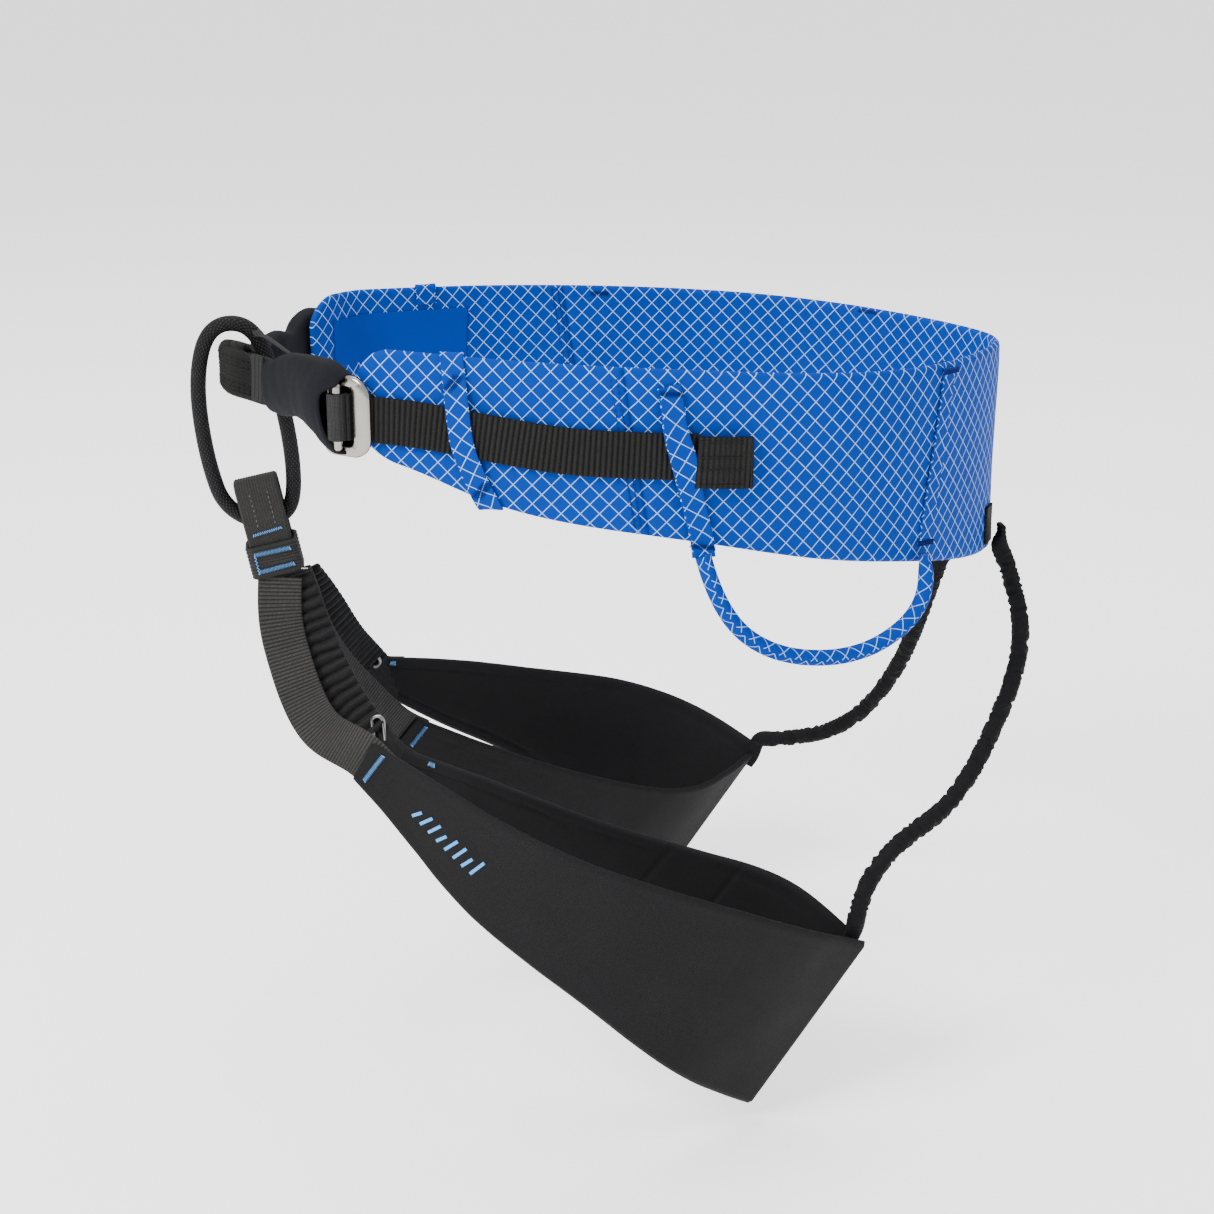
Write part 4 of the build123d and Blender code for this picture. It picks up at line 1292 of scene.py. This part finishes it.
# Gathered ends of the leg panels that the hooks hold: middle, the way the width runs, and width
HOOK_TABS = {
    "left": [
        ((-142, -44, -131), (0.6, -0.1, 0.75), 11),
        ((-137, -50, -139.5), (0.6, -0.05, 0.78), 15),
        ((-127, -57, -150), (0.6, 0, 0.8), 21),
    ],
    "right": [
        ((-140, 84, -143), (-0.1, 0.1, 1), 13),
        ((-135, 89, -152), (-0.2, 0.05, 1), 21),
        ((-126, 97, -161), (-0.3, 0, 1), 29),
    ],
}


def tab_folds(along, across):
    """Folds that run out from the hook."""
    return 0.5 * np.sin(2 * np.pi * across / 3.2 + along * 0.1) * np.exp(-along / 14)


for name, stations in HOOK_TABS.items():
    middles, ups = strap_stations([station[:2] for station in stations], 90)
    widths = np.interp(np.linspace(0, 1, 90), np.linspace(0, 1, len(stations)), [w for _, _, w in stations])
    tab = Grid()
    band(tab, middles, ups, widths, 1.8, tab_folds, columns=48)
    tab.piece(f"leg_hook_tab_{name}", ELASTIC, "black_elastic", f"leg_{name}")

# ---- Leg loops

LEG_PANELS = {
    "leg_left_outer": [
        ((-144, -78.5, -125), (-153.5, -80, -141)),
        ((-118, -103, -135), (-139, -92, -156)),
        ((-93, -122, -146), (-117, -106, -182)),
        ((-53, -142, -161), (-86, -128, -208)),
        ((-11, -150, -175), (-53, -140, -233)),
        ((34, -140, -196), (-17, -141, -264)),
        ((69, -119.5, -215), (17, -121.5, -291)),
    ],
    "leg_left_inner": [
        ((-128, -54, -139), (-139, -53, -154)),
        ((-94, -72, -147), (-115, -66, -180)),
        ((-50, -84, -163), (-82, -76, -212)),
        ((2, -92, -180), (-44, -86, -240)),
        ((39, -100, -193), (-12, -98, -268)),
        ((66, -113, -214), (15, -116, -290)),
    ],
    "leg_right_outer": [
        ((-136, 93, -145), (-127.5, 94, -170)),
        ((-98, 110, -154), (-102.3, 110, -190.5)),
        ((-42, 136, -172), (-64.5, 132, -218.5)),
        ((-2, 146, -183), (-38, 142, -242)),
        ((40, 140, -199), (-6, 138, -268)),
        ((68, 120.5, -214), (17, 121.5, -291)),
    ],
    "leg_right_inner": [
        ((-119, 56, -165), (-131, 55, -179)),
        ((-87, 62, -182), (-106, 60, -208)),
        ((-45, 70, -202), (-74, 68, -238)),
        ((-8, 78, -216), (-44, 78, -260)),
        ((32, 92, -225), (-12, 94, -278)),
        ((65, 114, -216), (15, 116, -290)),
    ],
}
LEG_SEAM_ROWS = (84, 106)
SHELL = 1.7
LINING = 1.5
HEM_DEPTHS = {"shell": 0.15, "lining": 1.0}


def leg_surface(rims, rows, columns):
    """A panel's middle surface, the way out of it and its coordinates, front to back and bottom to top."""
    flat = np.array([[*upper, *lower] for upper, lower in rims], float)
    centre = (flat[:, :3] + flat[:, 3:]) / 2
    chord = np.linalg.norm(np.diff(centre, axis=0), axis=1)
    dense = smooth_line(flat, rows, even=False, chord=chord)
    upper, lower = dense[:, :3], dense[:, 3:]
    share = np.linspace(0, 1, columns)
    points = lower[:, None] + (upper - lower)[:, None] * share[None, :, None]
    ahead = np.gradient(points, axis=0)
    rise = np.gradient(points, axis=1)
    out = unit(np.cross(ahead, rise))
    along = lengths_along((upper + lower) / 2)
    height = np.linalg.norm(upper - lower, axis=1)
    coordinates = np.stack(
        [np.broadcast_to(along[:, None], points.shape[:2]), (share[None] - 0.5) * height[:, None]], -1
    )
    return points, out, coordinates


LEG_FACES = {}


def leg_panel(node, rims):
    """A leg panel's shell and lining, with hems and, inside, two upright seams."""
    body = "leg_left" if "left" in node else "leg_right"
    rows, columns = 150, 44
    points, out, coordinates = leg_surface(rims, rows, columns)
    out = out * (1 if node in ("leg_left_outer", "leg_right_inner") else -1)
    height = np.linalg.norm(points[:, -1] - points[:, 0], axis=1)[:, None]
    share = np.linspace(0, 1, columns)[None]
    from_rim = np.minimum(share, 1 - share) * height
    sway = wobble(points * 0.016, 1.0, 2.0) * 1.6 + wobble(points * 0.06, 1.0, 6.0) * 0.35
    fade = step_up(np.arange(rows) / rows, 0, 0.12) * step_up(1 - np.arange(rows) / rows, 0, 0.1)
    points = points + out * (sway * fade[:, None])[..., None]
    plump = np.sqrt(np.clip(1 - (1 - np.clip(from_rim / 2.2, 0, 1)) ** 2, 0, 1))
    hem = 0.7 * np.exp(-(((from_rim - 6.0) / 0.6) ** 2))
    if "inner" in node:
        for seam_row in LEG_SEAM_ROWS:
            upright = np.exp(-(((np.arange(rows)[:, None] - seam_row) / 0.6) ** 2))
            hem = np.maximum(hem, 0.8 * upright * step_up(from_rim, 0.5, 3))
    for part, near, far, material, slot in (
        ("shell", 0.05, SHELL, LEG_SHELL, "leg_fabric"),
        ("lining", -0.05, -LINING, LEG_LINING, "leg_lining"),
    ):
        depth = near + (far - near) * (0.25 + 0.75 * plump)
        furrow = np.sign(far) * hem * HEM_DEPTHS[part]
        face = points + out * (depth - furrow)[..., None]
        LEG_FACES[node, part] = (face, out * np.sign(far))
        back = points + out * np.full_like(plump, near)[..., None]
        shell = Grid()
        ring = np.concatenate([face, back[:, ::-1]], axis=1)
        uv = np.concatenate([coordinates, coordinates[:, ::-1], coordinates[:, :1]], axis=1) * MM
        shell.add(ring, uv, wrap=True, caps=True)
        piece = shell.piece(f"{node}_{part}_cloth", material, slot, body, f"{node}_{part}")


for node, rims in LEG_PANELS.items():
    leg_panel(node, rims)

# ---- Tabs that hold the risers

def riser_tab(name, side):
    """The tab sewn to the belt that holds a riser."""
    tab = Grid()
    line = np.linspace(-43, -60.5, 50)
    station = PLAN_AT[PLAN_MIDDLE] + (-side) * 24.8
    middles = on_belt(np.full(50, station), 0.85 + 0.25 * step_up(-line, 52, 60), line)
    ups = np.tile(out_of_belt(np.array([station])), (50, 1))
    band(tab, middles, ups, 11.0, 1.3, ribs(1.8, 0.12))
    tab.piece(f"riser_tab_{name}_weave", WEBBING, "black_elastic", "harness", f"riser_tab_{name}")


for name, side in SIDES.items():
    riser_tab(name, side)

# ---- Ends of the risers

REAR_FOLDS = {"left": (60.5, -116.5, -222.0), "right": (62.0, 115.8, -224.0)}


def riser_ends(name):
    """The flattened upper end of a riser, on the belt, and its lower end, on the leg."""
    route = np.array(RISER_ROUTES[name], float)
    top, below = route[0], route[1]
    down = unit(below - top)
    head = smooth_line([top + [0.6, 0, 9], top + [0.9, 0, 4], top + down * 1, top + down * 7], 60)
    ups = np.tile([1.0, 0.0, 0.0], (60, 1))
    at = lengths_along(head)
    knot = Grid()
    depths = 2.6 + 5.6 * step_up(at, 3, 10)
    band(knot, head, ups, 8.6 - 1.0 * at / at[-1], depths, ribs(2.1, 0.3), columns=12)
    knot.piece(f"riser_head_{name}", RISER_CLOTH, "black_elastic", "harness")

    end, before = route[-1], route[-2]
    way = unit(end - before)
    fold = np.array(REAR_FOLDS[name])
    foot = smooth_line([end - way * 5, end + way * 1, end * 0.4 + fold * 0.6, fold], 60)
    ups = np.tile([0.0, 1.0, 0.0], (60, 1))
    at = lengths_along(foot)
    knot = Grid()
    depths = 8.0 - 5.8 * step_up(at, 3, 11)
    band(knot, foot, ups, 8.4 - 0.8 * at / at[-1], depths, ribs(2.1, 0.3), columns=12)
    knot.piece(f"riser_foot_{name}", RISER_CLOTH, "black_elastic", f"leg_{name}")


for name in SIDES:
    riser_ends(name)

# ---- Thread: bar tacks and seams


def belt_point(x, z, side, out):
    """A point on or off the belt at a place seen from the side."""
    return on_belt(plan_station(np.array([float(x)]), side), out, np.array([float(z)]))[0]


def belt_tacks(name, side):
    """Bar tacks where the keeper and the gear loop's straps are sewn to the belt."""
    tacks = Grid()
    for (x0, z0), (x1, z1), out, width in (
        ((-24.6, 35.2), (-14.4, 34.8), 1.75, 2.2),
        ((105.8, 31.6), (115.2, 31.0), 1.45, 2.4),
        ((-11.2, -29.0), (-0.6, -30.8), 3.6, 2.2),
        ((95.0, -42.8), (104.2, -44.0), 1.5, 2.2),
    ):
        start, end = belt_point(x0, z0, side, out), belt_point(x1, z1, side, out)
        outward = out_of_belt(plan_station(np.array([(x0 + x1) / 2]), side))[0]
        bar_tack(tacks, start, end, outward, width, 0.7, 0.24)
    inside = -BELT_THICKNESS - 0.15
    for (x0, z0), (x1, z1) in (((-24, 37.6), (-15, 37.2)), ((106.5, 33.4), (114, 33.0))):
        start, end = belt_point(x0, z0, side, inside), belt_point(x1, z1, side, inside)
        inward = -out_of_belt(plan_station(np.array([(x0 + x1) / 2]), side))[0]
        bar_tack(tacks, start, end, inward, 2.0, 0.7, 0.26)
    for x, top, low, out in ((-107.0, 41.6, 34.0, 2.0), (-95.8, -3.5, -10.0, 1.9)):
        for shift in (-1.6, 0, 1.6):
            start = belt_point(x - 2.6 + shift, low, side, out)
            end = belt_point(x + 2.4 + shift, top, side, out - 0.3)
            outward = out_of_belt(plan_station(np.array([x]), side))[0]
            bar_tack(tacks, start, end, outward, 1.3, 0.8, 0.2)
    tacks.piece(f"belt_{name}_tacks", DARK_THREAD, "blue_fabric", "harness")


def belt_seam(name, side):
    """Stitches along the seam between the wing and the back panel, on both faces."""
    seams = Grid()
    z = np.linspace(41.5, -24.0, 120)
    lean = WING_SEAM_TOP_X + SEAM_LEAN * (42.5 - z) / SEAM_HEIGHT
    inner = -BELT_THICKNESS + 0.05
    for shift, out in ((1.3, -0.05), (-1.3, -0.05), (0.0, -0.7), (1.4, inner), (-1.4, inner)):
        station = plan_station(lean + shift, side)
        line = on_belt(station, out, z)
        ups = out_of_belt(station) * (1 if out > -1 else -1)
        stitch_row(seams, line, ups, 1.8, 0.7, 0.27)
    seams.piece(f"belt_{name}_seam", DARK_THREAD, "blue_fabric", "harness")


for name, side in SIDES.items():
    belt_tacks(name, side)
    belt_seam(name, side)

# Leg tie-in loop: two dotted rows, a light bar tack on the loop and two on the wrap
dots = Grid()
for lean in (-3.6, 4.4):
    path = np.linspace(-5, -22, 60)
    line = in_crotch(lean, -7.75, path)
    stitch_row(dots, line, np.tile([0.0, -1.0, 0.0], (60, 1)), 1.1, 1.3, 0.24)
dots.piece("leg_tie_in_dots", GREY_THREAD, "black_webbing", "harness")
light = Grid()
bar_tack(light, in_crotch(-6.8, -7.95, -24.6), in_crotch(6.6, -7.95, -23.6), (0, -1, 0), 1.2, 0.8, 0.26)
bar_tack(light, in_crotch(-8.4, -9.8, -33.2), in_crotch(8.2, -9.8, -33.4), (0, -1, 0), 1.8, 0.62, 0.34)
bar_tack(light, in_crotch(-8.4, -9.8, -41.6), in_crotch(8.2, -9.8, -41.0), (0, -1, 0), 1.8, 0.62, 0.34)
bar_tack(light, in_crotch(-8.2, -9.8, -34.2), in_crotch(-8.2, -9.8, -40.8), (0, -1, 0), 0.9, 1.5, 0.2)
light.piece("leg_wrap_tacks", LIGHT_THREAD, "black_webbing", "harness")
loose = Grid()
loose_end = ((8.6, -8.0, -44.0), (11.0, -8.6, -44.6), (13.4, -8.0, -45.4))
threads(loose, [in_crotch(*spot) for spot in loose_end], 0.28)
loose.piece("leg_wrap_thread_end", WHITE_THREAD, "black_webbing", "harness")

# ---- Leg panels: bar tacks at their fronts, and a row of plain slanted marks on the outer ones

MARK_COUNT = 8
FIRST_MARK_ROW = 21
MARK_ROW_STEP = 3


def on_leg(node, part, row, share):
    """A point on a leg panel's face, and the way out of it. share is the height from 0 to 1."""
    face, out = LEG_FACES[node, part]
    column = int(round(share * (face.shape[1] - 1)))
    return face[row, column], out[row, column]


def leg_tacks(side_name):
    """Light bar tacks at the fronts of a leg's panels."""
    tacks = Grid()
    for node, part, first, last in (
        (f"leg_{side_name}_outer", "shell", (4, 0.18), (4, 0.88)),
        (f"leg_{side_name}_inner", "shell", (5, 0.30), (5, 0.88)),
    ):
        start, up = on_leg(node, part, *first)
        end, _ = on_leg(node, part, *last)
        bar_tack(tacks, start, end, up, 1.9, 0.62, 0.3)
    for node, part, row, share in (
        (f"leg_{side_name}_outer", "lining", 3, 0.88),
        (f"leg_{side_name}_inner", "lining", 8, 0.9),
    ):
        start, up = on_leg(node, part, row, share)
        end, _ = on_leg(node, part, row + 2, share)
        bar_tack(tacks, start, end, up, 1.8, 0.6, 0.3)
    tacks.piece(f"leg_{side_name}_tacks", LIGHT_THREAD, "leg_fabric", f"leg_{side_name}")


def leg_marks(side_name):
    """A row of plain slanted marks on the outer panel."""
    marks = Grid()
    for index in range(MARK_COUNT):
        row = FIRST_MARK_ROW + MARK_ROW_STEP * index
        low, up = on_leg(f"leg_{side_name}_outer", "shell", row, 0.34)
        high, _ = on_leg(f"leg_{side_name}_outer", "shell", row + 1, 0.54 if index % 3 else 0.48)
        line = np.linspace(low, high, 12) + up * 0.12
        band(marks, line, np.tile(up, (12, 1)), 1.5, 0.3, columns=6)
    marks.piece(f"leg_{side_name}_marks", PRINT_BLUE, "leg_fabric", f"leg_{side_name}")


for side_name in SIDES:
    leg_tacks(side_name)
    leg_marks(side_name)

# ---- Floor and light

FLOOR_Z = -0.30

floor_mesh = bpy.data.meshes.new("floor")
floor_mesh.from_pydata(
    [(-6, -6, FLOOR_Z), (6, -6, FLOOR_Z), (6, 12, FLOOR_Z), (-6, 12, FLOOR_Z)], [], [(0, 1, 2, 3)]
)
floor = bpy.data.objects.new("floor", floor_mesh)
bpy.context.scene.collection.objects.link(floor)
floor_nodes = Nodes("floor")
floor_mesh.materials.append(floor_nodes.finish((0.95, 0.95, 0.95), 0.9))
floor_nodes.surface.inputs["Emission Color"].default_value = (1, 1, 1, 1)
floor_nodes.surface.inputs["Emission Strength"].default_value = 0.7


def area_light(name, place, aim, size, power):
    """A soft square light."""
    data = bpy.data.lights.new(name, "AREA")
    data.size = size
    data.energy = power
    light = bpy.data.objects.new(name, data)
    light.location = place
    way = Vector(aim) - Vector(place)
    light.rotation_euler = way.to_track_quat("-Z", "Y").to_euler()
    bpy.context.scene.collection.objects.link(light)


area_light("key", (-1.6, -1.1, 1.6), (0, 0, -0.08), 0.9, 78)
area_light("fill", (1.6, -1.2, 0.9), (0, 0, -0.1), 1.4, 8)
area_light("top", (0.1, 0.6, 2.0), (0, 0, 0), 1.6, 40)

world = bpy.data.worlds.new("studio")
world.use_nodes = True
world.node_tree.nodes["Background"].inputs["Color"].default_value = (1, 1, 1, 1)
world.node_tree.nodes["Background"].inputs["Strength"].default_value = 1.15
bpy.context.scene.world = world
